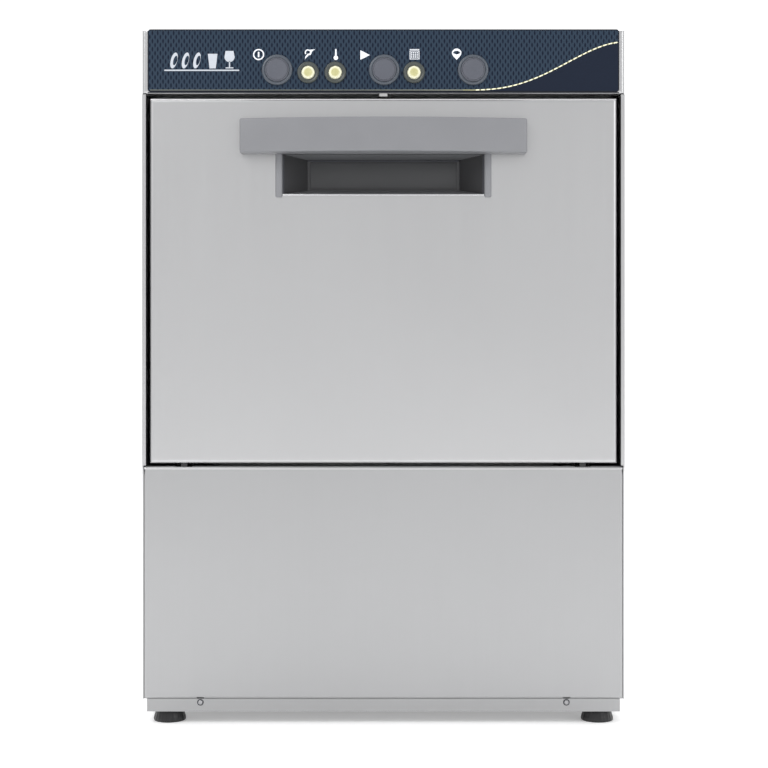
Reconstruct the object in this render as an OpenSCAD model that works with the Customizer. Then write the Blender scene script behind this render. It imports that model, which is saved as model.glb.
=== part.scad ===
// Undercounter commercial dishwasher for 350 mm racks, as an assembly of separate pieces.
// Units are millimetres. The origin is on the floor under the middle of the machine.
// The door faces -Y, +X is to the right when facing the machine, and +Z is up.

/* [Cabinet] */
// Width of the cabinet over its side panels
body_w = 400; // [400:1:420]
// Height of the cabinet with its feet screwed in
body_h = 576; // [576:1:590]
// Depth of the cabinet from the door face to the rear edge
body_d = 470; // [470:1:490]
// Gauge of the sheet steel
gauge = 1; // [0.8:0.1:1]
// Visible height of the feet
foot_show = 10; // [10:1:11]
// Height of the plinth strip at the base
plinth_h = 10.7; // [10:0.1:11]

/* [Front] */
// Top of the lower front panel above the floor
lower_top = 214; // [213:0.1:214]
// Bottom edge of the door above the floor
door_bottom = 216.2; // [216.2:0.1:216.6]
// Height of the control fascia
fascia_h = 53.6; // [53.6:0.1:54]
// Gap between the door and the fascia
door_top_gap = 3.6; // [3.6:0.1:4]
// Gap at each side of the door, with the side panel's edge in it
door_side_gap = 6.1; // [6:0.1:6.4]
// Thickness of the door over its steel skins
door_t = 24; // [24:0.1:24.2]
// Outer radius of the sheet bends on the front panels
bend_r = 2.5; // [2:0.1:2.5]

/* [Handle] */
// Length of the grip bar
grip_w = 236.6; // [220:1:240]
// Height of the grip bar
grip_h = 28; // [24:1:28]
// How far the middle of the grip stands out from the door
grip_reach = 20; // [16:1:20]
// How far the ends of the grip stand out from the door
grip_end = 11; // [9:1:12]
// Height of the grip bar's lower edge above the floor
grip_z = 472.5; // [470:0.5:473]
// Width of the finger pocket's mouth
pocket_w = 167.2; // [150:0.2:168]
// Height of the finger pocket's mouth
pocket_h = 33; // [30:1:33]

/* [Controls] */
// Height of the push buttons above the floor
button_z = 542.2; // [541:0.1:543]
// Diameter of a push button's cap
button_d = 20; // [19:0.5:20]
// Diameter of a push button's bezel
bezel_d = 25.4; // [24.6:0.1:26]
// Travel of a push button
button_travel = 3; // [2:0.5:3]
// Height of the pilot lamps above the floor
lamp_z = 540.1; // [539:0.1:541]
// Diameter of a pilot lamp's lens
lens_d = 11.2; // [10.8:0.1:11.4]
// Diameter of a pilot lamp's bezel
lamp_bezel_d = 17.9; // [17:0.1:18]

/* [Wash chamber] */
// Inside width of the wash chamber
chamber_w = 360; // [358:1:360]
// Side of the square dish rack
rack_w = 349; // [345:1:349]
// Height of the dish rack
rack_h = 100; // [90:5:110]
// Reach of the wash arm from its axis
arm_reach = 164; // [150:1:166]

/* [Hidden] */
$fn = 48;

// Depth positions: the overall box runs from the grip's face to the rear edge.
overall_d = body_d + grip_reach;
front_y = -overall_d / 2 + grip_reach;
rear_y = overall_d / 2;
side_x = body_w / 2;
plinth_top = foot_show + plinth_h;
fit = 0.05;
air = 0.3;

// Door
door_x = side_x - door_side_gap;
fascia_bottom = body_h - fascia_h;
door_top = fascia_bottom - door_top_gap;
door_back = front_y + door_t;
door_skin = door_back - gauge;
door_bend = 3;
pivot_y = front_y + 6;
pivot_z = door_bottom + 5.8;
pin_r = 2.5;
hinge_x = 165.5;
hinge_w = 13.3;
arm_t = 5;
lever_l = 40;
lever_half = 3.5;
spring_foot = [front_y + 20, 45];
spring_r = 4.3;

// Finger pocket: the mouth tapers back to a smaller rear wall.
pocket_back_y = door_skin - gauge - 1.4;
pocket_back_x = 63.9;
pocket_back_z = [447.6, 467.5];
pocket_floor = grip_z - pocket_h;
pocket_rim = 6;

// Controls, from left to right
button_x = [-88.1, 0.7, 74.3];
lamp_x = [-62.4, -39.9, 25.4];
overlay_t = 0.4;
overlay_x = side_x - 4.6;
overlay_z = [fascia_bottom + 1.6, body_h - 0.1];
bezel_proud = 2;
cap_proud = 3;
sleeve_end = front_y + 20;
stem_end = front_y + 19;
board_y = front_y + 46;
catch_half = 3.3;

// Wash chamber
chamber_x = chamber_w / 2;
seat_y = door_back + 3;
frame_t = 1.2;
chamber_front = seat_y + frame_t;
chamber_rear = 174;
chamber_z = [231, 512];
chamber_r = 12;
mouth_z = [236, 509];
frame_z = [227.5, 520.5];
frame_x = 194;
floor_z = chamber_z[0] + gauge;

// Tank below the chamber floor
tank_x = 150;
tank_y = [-130, 120];
tank_bottom = 141;
arm_axis = [0, -12];
drain_axis = [-120, 90];
drain_seat_z = tank_bottom - 18;
suction_x = -45;
suction_r = 12;
heater_y = -85;
heater_z = 164;

// Spray arms turn on stepped posts
post_r = 14;
neck_r = 8;
shoulder_z = 241;
wash_arm_z = [shoulder_z + air, 252];
rinse_arm_z = [252.5, 261];
neck_top = 261.4;
upper_arm_z = [487, 496];
rail_z = 272;
rack_z = rail_z + 1.5 + air;
rack_wall = 3;

// Wash pump under the tank
pump_y = -55;
pump_z = 76;
volute_x = [20, 52];
volute_r = 50;
delivery_z = pump_z + 20;
duct_run = 34;
motor_end = 150;
shaft_r = 6;
post_bottom = tank_bottom - 22;

// Rinse boiler across the back
boiler_x = [-140, 100];
boiler_r = 48;
boiler_y = 178;
boiler_z = 178;

// Rear recess for the water, drain and mains connections
recess_x = 160;
recess_z = [24, 124];
recess_y = rear_y - 24;
sheet_y = rear_y - 4;
inlet_x = 100;
drain_x = -100;
gland_x = 0;
connect_z = 62;
inlet_r = 13.2;
spigot_r = 10;
tail_y = [recess_y + 2, rear_y - 2];
tail_relief = 0.8;
gland_r = 6;
screw_x = side_x - 9;
screw_rows = [50, 220, 390, 555];
vent_rows = [for (i = [0 : 7]) 430 + 12 * i];
base_screw = [152, 17.6];

// Feet
foot_x = 179.4;
foot_y = [front_y + 18, rear_y - 30];
stud_r = 5;
foot_r = 13.5;

// ---------- helpers ----------

module box(x, y, z) {
    translate([x[0], y[0], z[0]]) cube([x[1] - x[0], y[1] - y[0], z[1] - z[0]]);
}

module rod_x(x, y, z, r) {
    translate([x[0], y, z]) rotate([0, 90, 0]) cylinder(r = r, h = x[1] - x[0]);
}

module rod_y(x, y, z, r) {
    translate([x, y[0], z]) rotate([-90, 0, 0]) cylinder(r = r, h = y[1] - y[0]);
}

module rod_z(x, y, z, r) {
    translate([x, y, z[0]]) cylinder(r = r, h = z[1] - z[0]);
}

// Extrudes an outline drawn as (Y, Z) along X.
module along_x(x) {
    translate([x[0], 0, 0]) rotate([90, 0, 90]) linear_extrude(x[1] - x[0]) children();
}

// Extrudes an outline drawn as (X, Z) along Y.
module along_y(y) {
    translate([0, y[1], 0]) rotate([90, 0, 0]) linear_extrude(y[1] - y[0]) children();
}

module both_sides() {
    children();
    mirror([1, 0, 0]) children();
}

// Rectangle with round corners
module round_rect(a, b, r) {
    translate([a[0] + r, b[0]]) square([a[1] - a[0] - 2 * r, b[1] - b[0]]);
    translate([a[0], b[0] + r]) square([a[1] - a[0], b[1] - b[0] - 2 * r]);
    for (u = [a[0] + r, a[1] - r]) {
        for (v = [b[0] + r, b[1] - r]) {
            translate([u, v]) circle(r);
        }
    }
}

// Solid block whose front edges are rounded by r
module front_block(x, y, z, r) {
    intersection() {
        along_x(x) round_rect([y[0], y[1] + 2 * r], z, r);
        translate([0, 0, z[0]]) linear_extrude(z[1] - z[0]) round_rect(x, [y[0], y[1] + 2 * r], r);
        box([x[0] - 1, x[1] + 1], y, [z[0] - 1, z[1] + 1]);
    }
}

// Folded sheet tray, open to the rear, with rounded front edges
module front_tray(x, y, z, r) {
    difference() {
        front_block(x, y, z, r);
        front_block([x[0] + gauge, x[1] - gauge], [y[0] + gauge, y[1] + 5],
                    [z[0] + gauge, z[1] - gauge], r - gauge);
    }
}

// Pipe through a list of points, with a bulged elbow at each corner
module pipe(points, r) {
    for (i = [0 : len(points) - 2]) {
        step = points[i + 1] - points[i];
        turn = [0, acos(step[2] / norm(step)), atan2(step[1], step[0])];
        translate(points[i]) rotate(turn) cylinder(r = r, h = norm(step));
    }
    for (i = [1 : 1 : len(points) - 2]) {
        translate(points[i]) sphere(r + 0.8);
    }
}

// ---------- cabinet ----------

// Folded floor tray that carries the machine on its feet
module base_pan() {
    x = side_x - 3.6;
    y = [front_y + 2.6, rear_y - 6];
    color("silver") difference() {
        box([-x, x], y, [foot_show, plinth_top]);
        box([-x + gauge, x - gauge], [y[0] + gauge, y[1] - gauge], [foot_show + 2, plinth_top + 1]);
        both_sides() {
            for (fy = foot_y) {
                rod_z(foot_x, fy, [0, plinth_top], stud_r + fit);
            }
            rod_y(base_screw[0], [y[0] - 1, y[0] + gauge + 1], base_screw[1], 1.9);
        }
    }
}

module foot_nuts() {
    color("silver") both_sides() {
        for (fy = foot_y) {
            difference() {
                translate([foot_x, fy, foot_show + 2]) rotate([0, 0, 30])
                    cylinder(r = 9.8, h = 8, $fn = 6);
                rod_z(foot_x, fy, [foot_show, 30], stud_r + fit);
            }
        }
    }
}

// Levelling foot: a moulded pad on a threaded stud
module foot(x, y) {
    top = foot_show - air;
    color("dimgray") translate([x, y, 0]) {
        cylinder(r1 = foot_r - 1.5, r2 = foot_r, h = 1.5);
        translate([0, 0, 1.5]) cylinder(r = foot_r, h = 2.5);
        translate([0, 0, 4]) cylinder(r1 = foot_r, r2 = foot_r - 1.5, h = 2);
        translate([0, 0, 6]) cylinder(r = foot_r - 1.5, h = top - 6);
        translate([0, 0, top - 1]) cylinder(r = stud_r, h = 36);
    }
}

module foot_front_left() { foot(-foot_x, foot_y[0]); }
module foot_front_right() { foot(foot_x, foot_y[0]); }
module foot_rear_left() { foot(-foot_x, foot_y[1]); }
module foot_rear_right() { foot(foot_x, foot_y[1]); }

// Side panel: a flat sheet with a folded edge beside the door
module side_panel() {
    low = [front_y + 2.2, plinth_top];
    step_z = lower_top - 8;
    color("silver") {
        along_x([side_x - gauge, side_x]) polygon([
            low, [low[0], step_z], [front_y, lower_top - 1], [front_y, fascia_bottom - air],
            [front_y + 19.3, fascia_bottom - air], [front_y + 19.3, body_h - gauge],
            [rear_y, body_h - gauge], [rear_y, plinth_top]
        ]);
        box([side_x - 3, side_x - gauge], [front_y, front_y + gauge],
            [lower_top + 0.4, fascia_bottom - air]);
        box([side_x - 3, side_x - 2], [front_y + gauge, front_y + 14],
            [lower_top + 0.4, fascia_bottom - air]);
        box([side_x - 14, side_x - gauge], [front_y + 19, sheet_y - gauge],
            [plinth_top, plinth_top + gauge]);
        difference() {
            box([side_x - 16, side_x - gauge], [sheet_y - gauge, sheet_y],
                [plinth_top, body_h - 4]);
            for (z = screw_rows) {
                rod_y(screw_x, [sheet_y - 2, sheet_y + 1], z, 1.9);
            }
        }
    }
}

module side_panel_right() { side_panel(); }
module side_panel_left() { mirror([1, 0, 0]) side_panel(); }

// Rear panel with two banks of hooded vents and a cut-out over the connection recess
module rear_panel() {
    x = side_x - gauge;
    color("silver") {
        difference() {
            box([-x, x], [sheet_y, sheet_y + gauge], [plinth_top, body_h - gauge]);
            box([-recess_x + gauge, recess_x - gauge], [sheet_y - 1, rear_y],
                [recess_z[0] + gauge, recess_z[1] - gauge]);
            both_sides() {
                for (z = vent_rows) {
                    box([40, 120], [sheet_y - 1, sheet_y + 2], [z, z + 4]);
                }
                for (z = screw_rows) {
                    rod_y(screw_x, [sheet_y - 1, sheet_y + 2], z, 1.9);
                }
            }
        }
        both_sides() {
            for (z = vent_rows) {
                along_x([38, 122]) polygon([
                    [sheet_y + gauge, z + 4], [sheet_y + gauge, z + 6],
                    [rear_y - 0.2, z + 1.5], [rear_y - 0.2, z], [rear_y - 0.8, z]
                ]);
            }
        }
    }
}
// Top sheet, turned down inside the side panels
module top_panel() {
    color("silver") {
        box([-side_x, side_x], [front_y + 19.3, rear_y], [body_h - gauge, body_h]);
        both_sides() box([side_x - 3.2, side_x - 2.2], [front_y + 24, rear_y - 20],
                         [body_h - 16, body_h - gauge]);
    }
}

// Lower front panel, notched for the hinge levers and the two base screws
module lower_front_panel() {
    x = side_x - gauge;
    y = [front_y + 1, front_y + 11];
    color("silver") difference() {
        front_tray([-x, x], y, [plinth_top, lower_top], bend_r);
        both_sides() {
            box([hinge_x - hinge_w / 2, hinge_x + hinge_w / 2], [y[0] + 0.8, y[1] + 1],
                [lower_top - bend_r, lower_top + 1]);
            box([base_screw[0] - 3, base_screw[0] + 3], [y[0] - 1, y[0] + 5],
                [plinth_top - 1, plinth_top + 1.6]);
        }
    }
}

// ---------- control fascia ----------

module fascia_panel() {
    y = [front_y, front_y + 19];
    color("silver") difference() {
        front_tray([-side_x, side_x], y, [fascia_bottom, body_h], bend_r);
        for (x = button_x) {
            rod_y(x, [y[0] - 1, y[0] + 5], button_z, bezel_d / 2 - 1.2);
        }
        for (x = lamp_x) {
            rod_y(x, [y[0] - 1, y[0] + 5], lamp_z, lens_d / 2 + 1.1);
        }
        box([-catch_half - air, catch_half + air], [y[0] - 1, y[1] + 1],
            [fascia_bottom - 1, fascia_bottom + 1.1]);
    }
}

// Printed plastic overlay on the fascia
module fascia_overlay() {
    color("midnightblue") difference() {
        along_y([front_y - overlay_t, front_y])
            round_rect([-overlay_x, overlay_x], overlay_z, 2.5);
        for (x = button_x) {
            rod_y(x, [front_y - 2, front_y + 1], button_z, bezel_d / 2 - 1.2);
        }
        for (x = lamp_x) {
            rod_y(x, [front_y - 2, front_y + 1], lamp_z, lens_d / 2 + 1.1);
        }
    }
}

// Bezel rings with the sleeves that guide the button caps
module button_bezels() {
    face = front_y - overlay_t;
    color("gray") for (x = button_x) {
        difference() {
            union() {
                rod_y(x, [face - bezel_proud, face], button_z, bezel_d / 2);
                rod_y(x, [face - 0.5, sleeve_end], button_z, bezel_d / 2 - 1.3);
            }
            rod_y(x, [face - 5, sleeve_end + 1], button_z, button_d / 2 + fit);
        }
    }
}

// Push button cap with a stem that reaches its switch
module button(x) {
    face = front_y - overlay_t - cap_proud;
    skirt = face + 14;
    color("slategray") {
        rod_y(x, [face, skirt], button_z, button_d / 2);
        rod_y(x, [skirt - 1, stem_end], button_z, 3);
    }
}

module button_power() { button(button_x[0]); }
module button_start() { button(button_x[1]); }
module button_drain() { button(button_x[2]); }

module switch_blocks() {
    y = stem_end + button_travel + air;
    color("white") for (x = button_x) {
        box([x - 10, x + 10], [y, board_y], [button_z - 11, button_z + 11]);
    }
}
module lamp_bezels() {
    face = front_y - overlay_t;
    color("gray") for (x = lamp_x) {
        difference() {
            union() {
                rod_y(x, [face - 1.6, face], lamp_z, lamp_bezel_d / 2);
                rod_y(x, [face - 0.5, front_y + 12], lamp_z, lens_d / 2 + 1);
            }
            rod_y(x, [face - 5, front_y + 13], lamp_z, lens_d / 2);
        }
    }
}

module lamp_lenses() {
    face = front_y - overlay_t;
    color("lemonchiffon") for (x = lamp_x) {
        rod_y(x, [face - 2, front_y + 8], lamp_z, lens_d / 2);
    }
}

// Circuit board with its relays and transformer
module control_board() {
    z = [fascia_bottom + 5, body_h - 7];
    color("darkgreen") box([-130, 120], [board_y, board_y + 1.6], z);
    color("black") {
        for (i = [0 : 4]) {
            box([-110 + 26 * i, -94 + 26 * i], [board_y + 1.6, board_y + 17], [z[0] + 5, z[0] + 32]);
        }
        box([50, 90], [board_y + 1.6, board_y + 30], [z[0] + 4, z[0] + 36]);
    }
}

// Catch with the door sensor, hung in the fascia's lower edge
module door_catch() {
    x = [-catch_half, catch_half];
    color("silver") {
        box(x, [front_y + 0.5, front_y + 13], [fascia_bottom - 1.9, fascia_bottom + 0.8]);
        box(x, [front_y + 9, front_y + 13], [fascia_bottom, fascia_bottom + 8]);
        box([-12, 12], [front_y + 9, front_y + 18], [fascia_bottom + 3, fascia_bottom + 8]);
    }
}

// ---------- hinges ----------

// Upright channels that carry the hinge pins and hide the counterbalance springs
module hinge_brackets() {
    ear = 1.5;
    back_y = pivot_y + lever_l + 7;
    neck_y = pivot_y + 6.4;
    top_z = pivot_z + 4.5;
    pan_z = foot_show + 2;
    over_nut = pan_z + 9;
    x = [hinge_x - hinge_w / 2, hinge_x + hinge_w / 2];
    color("silver") both_sides() {
        for (side = [[x[0], pan_z], [x[1] - ear, over_nut]]) {
            along_x([side[0], side[0] + ear]) difference() {
                union() {
                    translate([pivot_y, pivot_z]) circle(4.5);
                    translate([pivot_y, pivot_z - 3.5]) square([7, 8]);
                    translate([neck_y, side[1]]) square([back_y - neck_y, top_z - side[1]]);
                }
                translate([pivot_y, pivot_z]) circle(pin_r);
            }
        }
        box([x[0] + ear, x[1] - ear], [back_y - ear, back_y], [pan_z, 200]);
        rod_x([x[0] + ear, x[1] - ear], spring_foot[0], spring_foot[1], 2);
    }
}

module hinge_pins() {
    color("silver") both_sides()
        rod_x([hinge_x - hinge_w / 2, hinge_x + hinge_w / 2], pivot_y, pivot_z, pin_r);
}

// Levers fixed in the door, which turn on the pins and pull the springs
module hinge_arms() {
    tail_z = pivot_z - lever_l;
    color("gray") both_sides() along_x([hinge_x - arm_t / 2, hinge_x + arm_t / 2]) difference() {
        union() {
            translate([pivot_y, pivot_z]) circle(4.6);
            translate([pivot_y - lever_half, tail_z]) square([2 * lever_half, lever_l]);
            translate([pivot_y, tail_z]) circle(lever_half);
            translate([pivot_y - 4.4, pivot_z]) square([10, 80]);
            translate([pivot_y, pivot_z + 10]) square([door_skin - pivot_y, 70]);
        }
        translate([pivot_y, pivot_z]) circle(pin_r + fit);
        translate([pivot_y, tail_z]) circle(1.6);
    }
}

// Counterbalance springs: a coil body with a straight hook at each end
module door_springs() {
    tip = [pivot_y, pivot_z - lever_l];
    run = tip - spring_foot;
    lean = atan2(-run[0], run[1]);
    l = norm(run);
    color("silver") both_sides()
        translate([hinge_x, spring_foot[0], spring_foot[1]]) rotate([lean, 0, 0]) {
            difference() {
                translate([0, 0, 12]) cylinder(r = spring_r, h = l - 32);
                translate([0, 0, 13.5]) cylinder(r = spring_r - 1.4, h = l - 35);
            }
            translate([0, 0, 2.4]) cylinder(r = 0.8, h = 10);
            translate([0, 0, l - 20.5]) cylinder(r = 0.8, h = 16);
        }
}

// ---------- door ----------

// Outer skin folded round all four edges, with a short return behind
module door_outer_panel() {
    y = [front_y, door_skin];
    hem = 7;
    color("silver") difference() {
        union() {
            front_tray([-door_x, door_x], y, [door_bottom, door_top], door_bend);
            difference() {
                box([-door_x + gauge, door_x - gauge], [y[1] - gauge, y[1]],
                    [door_bottom + gauge, door_top - gauge]);
                box([-door_x + hem, door_x - hem], [y[1] - 5, y[1] + 1],
                    [door_bottom + hem, door_top - hem]);
            }
        }
        box([-pocket_w / 2 - 1.3, pocket_w / 2 + 1.3], [y[0] - 1, y[0] + 5],
            [pocket_floor - 1.3, grip_z + 1.3]);
        both_sides() box([hinge_x - hinge_w / 2 - air, hinge_x + hinge_w / 2 + air],
                         [y[0] + gauge + 0.3, y[1] + 1], [door_bottom - 1, pivot_z + 6]);
    }
}

// Inner skin, pressed out into the chamber mouth
module door_inner_panel() {
    x = door_x - 2;
    z = [door_bottom + 2, door_top - 2];
    lift = 5;
    color("silver") difference() {
        union() {
            box([-x, x], [door_skin, door_back], z);
            front_press([-166, 166], lift, [252, 494]);
        }
        front_press([-166 + gauge, 166 - gauge], lift - gauge, [252 + gauge, 494 - gauge]);
        box([-166 + gauge, 166 - gauge], [door_skin - 1, door_back], [252 + gauge, 494 - gauge]);
        both_sides() box([hinge_x - hinge_w / 2 - air, hinge_x + hinge_w / 2 + air],
                         [door_skin - 1, door_back + 1], [door_bottom, pivot_z + 6]);
    }
}

module front_press(x, lift, z) {
    along_y([door_back - 0.01, door_back + lift]) round_rect(x, z, 14);
}

// Rubber seal around the door's inner skin
module door_gasket() {
    x = 188.5;
    z = [229, 516.3];
    w = 5.5;
    color("black") along_y([door_back, seat_y - air]) difference() {
        round_rect([-x, x], z, 10);
        round_rect([-x + w, x - w], [z[0] + w, z[1] - w], 10 - w);
    }
}

// Moulded grip, bowed forwards in its middle
module handle_bar() {
    bow = grip_reach - grip_end;
    r = (grip_w * grip_w / 4 + bow * bow) / (2 * bow);
    color("darkgray") intersection() {
        translate([0, front_y - grip_reach + r, grip_z]) cylinder(r = r, h = grip_h, $fn = 720);
        box([-grip_w / 2, grip_w / 2], [front_y - grip_reach - 1, front_y],
            [grip_z - 1, grip_z + grip_h + 1]);
    }
}

// Tapered solid used for the pocket and its hollow: grown by g on every side
module pocket_form(g, y) {
    x = [pocket_w / 2 + g, pocket_back_x + g];
    z = [pocket_floor - g, grip_z + g];
    back_z = [pocket_back_z[0] - g, pocket_back_z[1] + g];
    intersection() {
        translate([0, 0, z[0]]) linear_extrude(z[1] - z[0])
            polygon([[-x[0], y[0]], [x[0], y[0]], [x[1], y[1]], [-x[1], y[1]]]);
        along_x([-x[0], x[0]])
            polygon([[y[0], z[0]], [y[1], back_z[0]], [y[1], back_z[1]], [y[0], z[1]]]);
    }
}

// Finger pocket behind the grip, with a narrow rim on the door face
module handle_pocket() {
    rim_z = [pocket_floor - 2.7, grip_z];
    color("dimgray") difference() {
        union() {
            pocket_form(1.2, [front_y, pocket_back_y + 1.2]);
            box([-pocket_w / 2 - pocket_rim, pocket_w / 2 + pocket_rim],
                [front_y - 2, front_y], rim_z);
        }
        pocket_form(0, [front_y, pocket_back_y]);
        box([-pocket_w / 2, pocket_w / 2], [front_y - 3, front_y + 0.01],
            [pocket_floor, grip_z + 1]);
    }
}

// ---------- wash chamber ----------

// Outline of the chamber, round in its two upper corners
module chamber_outline(g) {
    x = chamber_x + g;
    r = chamber_r + g;
    translate([-x, chamber_z[0]]) square([2 * x, chamber_z[1] + g - r - chamber_z[0]]);
    translate([-x + r, chamber_z[0]]) square([2 * (x - r), chamber_z[1] + g - chamber_z[0]]);
    for (u = [-x + r, x - r]) {
        translate([u, chamber_z[1] + g - r]) circle(r);
    }
}

// Side walls and roof, bent from one sheet
module chamber_wrap() {
    color("silver") difference() {
        along_y([chamber_front, chamber_rear]) difference() {
            chamber_outline(gauge);
            chamber_outline(0);
        }
        rod_z(arm_axis[0], arm_axis[1], [500, 520], neck_r + 2);
    }
}

module chamber_back() {
    color("silver") along_y([chamber_rear, chamber_rear + gauge]) chamber_outline(gauge);
}

// Chamber floor with the opening over the tank
module chamber_floor() {
    color("silver") difference() {
        box([-chamber_x, chamber_x], [chamber_front, chamber_rear], [chamber_z[0], floor_z]);
        box([-tank_x, tank_x], tank_y, [chamber_z[0] - 1, floor_z + 1]);
    }
}

// Flange round the chamber mouth, which the door seal closes on
module chamber_frame() {
    color("silver") along_y([seat_y, chamber_front]) difference() {
        round_rect([-frame_x, frame_x], frame_z, 4);
        round_rect([-chamber_x, chamber_x], mouth_z, chamber_r);
    }
}

// Wash tank with holes for the post, the drain seat, the suction and the heater
module tank() {
    x = tank_x + gauge;
    y = [tank_y[0] - gauge, tank_y[1] + gauge];
    color("silver") difference() {
        union() {
            box([-x, x], y, [tank_bottom, chamber_z[0]]);
            rod_z(drain_axis[0], drain_axis[1], [drain_seat_z, tank_bottom + gauge], 16);
        }
        box([-tank_x, tank_x], tank_y, [tank_bottom + gauge, chamber_z[0] + 1]);
        rod_z(arm_axis[0], arm_axis[1], [tank_bottom - 1, tank_bottom + 2], post_r + fit);
        rod_z(drain_axis[0], drain_axis[1], [drain_seat_z - 1, tank_bottom + 2], spigot_r);
        rod_z(suction_x, pump_y, [tank_bottom - 1, tank_bottom + 2], suction_r);
        rod_x([tank_x - 1, x + 1], heater_y, heater_z, 14);
    }
}
// Heating element: a hairpin on a flange through the tank wall
module tank_heater() {
    far = -tank_x + 35;
    color("silver") {
        rod_x([tank_x + gauge, tank_x + 7], heater_y, heater_z, 20);
        rod_x([tank_x - 2, tank_x + 2], heater_y, heater_z, 13.8);
        both_ways(9) rod_x([far, tank_x], heater_y, heater_z, 4);
        rod_y(far, [heater_y - 9, heater_y + 9], heater_z, 4.3);
        both_ways(9) rod_x([tank_x + 6, tank_x + 18], heater_y, heater_z, 2);
    }
}

module both_ways(d) {
    for (s = [-d, d]) {
        translate([0, s, 0]) children();
    }
}

module rack_rails() {
    color("silver") both_sides() {
        box([chamber_x - 14, chamber_x], [seat_y + 12, chamber_rear - 4], [rail_z, rail_z + 1.5]);
        box([chamber_x - 1.5, chamber_x], [seat_y + 12, chamber_rear - 4],
            [rail_z - 12, rail_z]);
    }
}

// Post for the lower spray arms, with the nut that keeps them on
module arm_post_lower() {
    color("silver") translate([arm_axis[0], arm_axis[1], 0]) {
        difference() {
            union() {
                rod_z(0, 0, [post_bottom, shoulder_z], post_r);
                rod_z(0, 0, [shoulder_z - 1, neck_top], neck_r);
                rod_z(0, 0, [tank_bottom + gauge, tank_bottom + 5], 24);
            }
            rod_z(0, 0, [post_bottom - 1, shoulder_z - 4], post_r - 3);
        }
        rod_z(0, 0, [neck_top, neck_top + 5], 12);
    }
}

// Post for the upper rinse arm, hung from the chamber roof
module arm_post_upper() {
    color("silver") translate([arm_axis[0], arm_axis[1], 0]) {
        rod_z(0, 0, [upper_arm_z[0] - 0.4, chamber_z[1] + 16], neck_r);
        rod_z(0, 0, [upper_arm_z[1] + air, chamber_z[1]], 14);
        rod_z(0, 0, [upper_arm_z[0] - 5.4, upper_arm_z[0] - 0.4], 12);
        rod_z(0, 0, [chamber_z[1] + gauge, chamber_z[1] + 5], 16);
    }
}

// Two-bladed wash arm with a row of nozzle slots in each blade
module wash_arm() {
    z = wash_arm_z;
    color("darkslategray") translate([arm_axis[0], arm_axis[1], 0]) difference() {
        union() {
            rod_z(0, 0, z, 22);
            translate([0, 0, z[0] + 1]) linear_extrude(z[1] - z[0] - 1) {
                for (s = [-1, 1]) {
                    polygon([[0, -17], [s * (arm_reach - 12), -12],
                             [s * (arm_reach - 12), 12], [0, 17]]);
                    translate([s * (arm_reach - 12), 0]) circle(12);
                }
            }
        }
        rod_z(0, 0, [z[0] - 1, z[1] + 1], neck_r + fit);
        for (s = [-1, 1]) {
            for (d = [45 : 28 : arm_reach - 20]) {
                translate([s * d - 1.5, -6, z[1] - 2]) cube([3, 12, 3]);
            }
        }
    }
}

// Slim tubular rinse arm with nozzles along both tubes
module rinse_arm(z, up) {
    mid = (z[0] + z[1]) / 2;
    color("silver") translate([arm_axis[0], arm_axis[1], 0]) difference() {
        union() {
            rod_z(0, 0, z, 14);
            rod_y(0, [-155, 155], mid, 3.6);
            for (s = [-1, 1]) {
                for (d = [40 : 35 : 150]) {
                    rod_z(0, s * d, up > 0 ? [mid, z[1]] : [z[0], mid], 2.4);
                }
            }
        }
        rod_z(0, 0, [z[0] - 1, z[1] + 1], neck_r + fit);
    }
}

module rinse_arm_lower() { rinse_arm(rinse_arm_z, 1); }
module rinse_arm_upper() { rinse_arm(upper_arm_z, -1); }

// Slotted filter plate that lies on the tank opening's edge
module tank_filter() {
    x = tank_x + 6;
    y = [tank_y[0] - 6, tank_y[1] + 6];
    z = [floor_z + air, floor_z + air + 1.2];
    color("silver") difference() {
        box([-x, x], y, z);
        rod_z(arm_axis[0], arm_axis[1], [230, 240], post_r + 1);
        rod_z(drain_axis[0], drain_axis[1], [230, 240], 14);
        for (sx = [-x + 14 : 12 : x - 14]) {
            if (abs(sx) > 20 && abs(sx - drain_axis[0]) > 18) {
                box([sx - 1.5, sx + 1.5], [y[0] + 14, -20], [230, 240]);
                box([sx - 1.5, sx + 1.5], [-5, y[1] - 14], [230, 240]);
            }
        }
    }
}

// Overflow pipe that plugs the drain seat
module standpipe() {
    z = [tank_bottom - 7, 224];
    color("dimgray") translate([drain_axis[0], drain_axis[1], 0]) difference() {
        union() {
            rod_z(0, 0, [z[0], tank_bottom + 8], spigot_r - fit);
            rod_z(0, 0, [tank_bottom + gauge + air, z[1]], 12);
        }
        rod_z(0, 0, [z[0] - 1, z[1] - 2], 8);
        for (a = [0, 90]) {
            rotate([0, 0, a]) translate([-15, -3, z[1] - 22]) cube([30, 6, 14]);
        }
    }
}

// Rack with a grid floor and slotted walls
module dish_rack() {
    h = rack_w / 2;
    pitch = (rack_w - rack_wall) / 14;
    floor_top = rack_z + 5;
    color("steelblue") translate([arm_axis[0], arm_axis[1], 0]) {
        for (i = [0 : 14]) {
            p = -h + i * pitch;
            box([p, p + rack_wall], [-h, h], [rack_z, floor_top]);
            box([-h, h], [p, p + rack_wall], [rack_z, floor_top]);
        }
        for (turn = [0, 90, 180, 270]) {
            rotate([0, 0, turn]) rack_side([floor_top + fit, rack_z + rack_h]);
        }
    }
}

// One side panel of the rack, with two rows of windows; each butts on the next one's end
module rack_side(z) {
    h = rack_w / 2;
    pitch = (rack_w - rack_wall) / 14;
    difference() {
        box([-h, h - rack_wall - fit], [-h, -h + rack_wall], z);
        for (i = [0 : 6]) {
            p = -h + 12 + i * 2 * pitch;
            for (row = [0, 1]) {
                w = z[0] + 7 + 42 * row;
                box([p, p + 30], [-h - 1, -h + rack_wall + 1], [w, w + 34]);
            }
        }
    }
}

// ---------- works under the tank ----------

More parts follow.
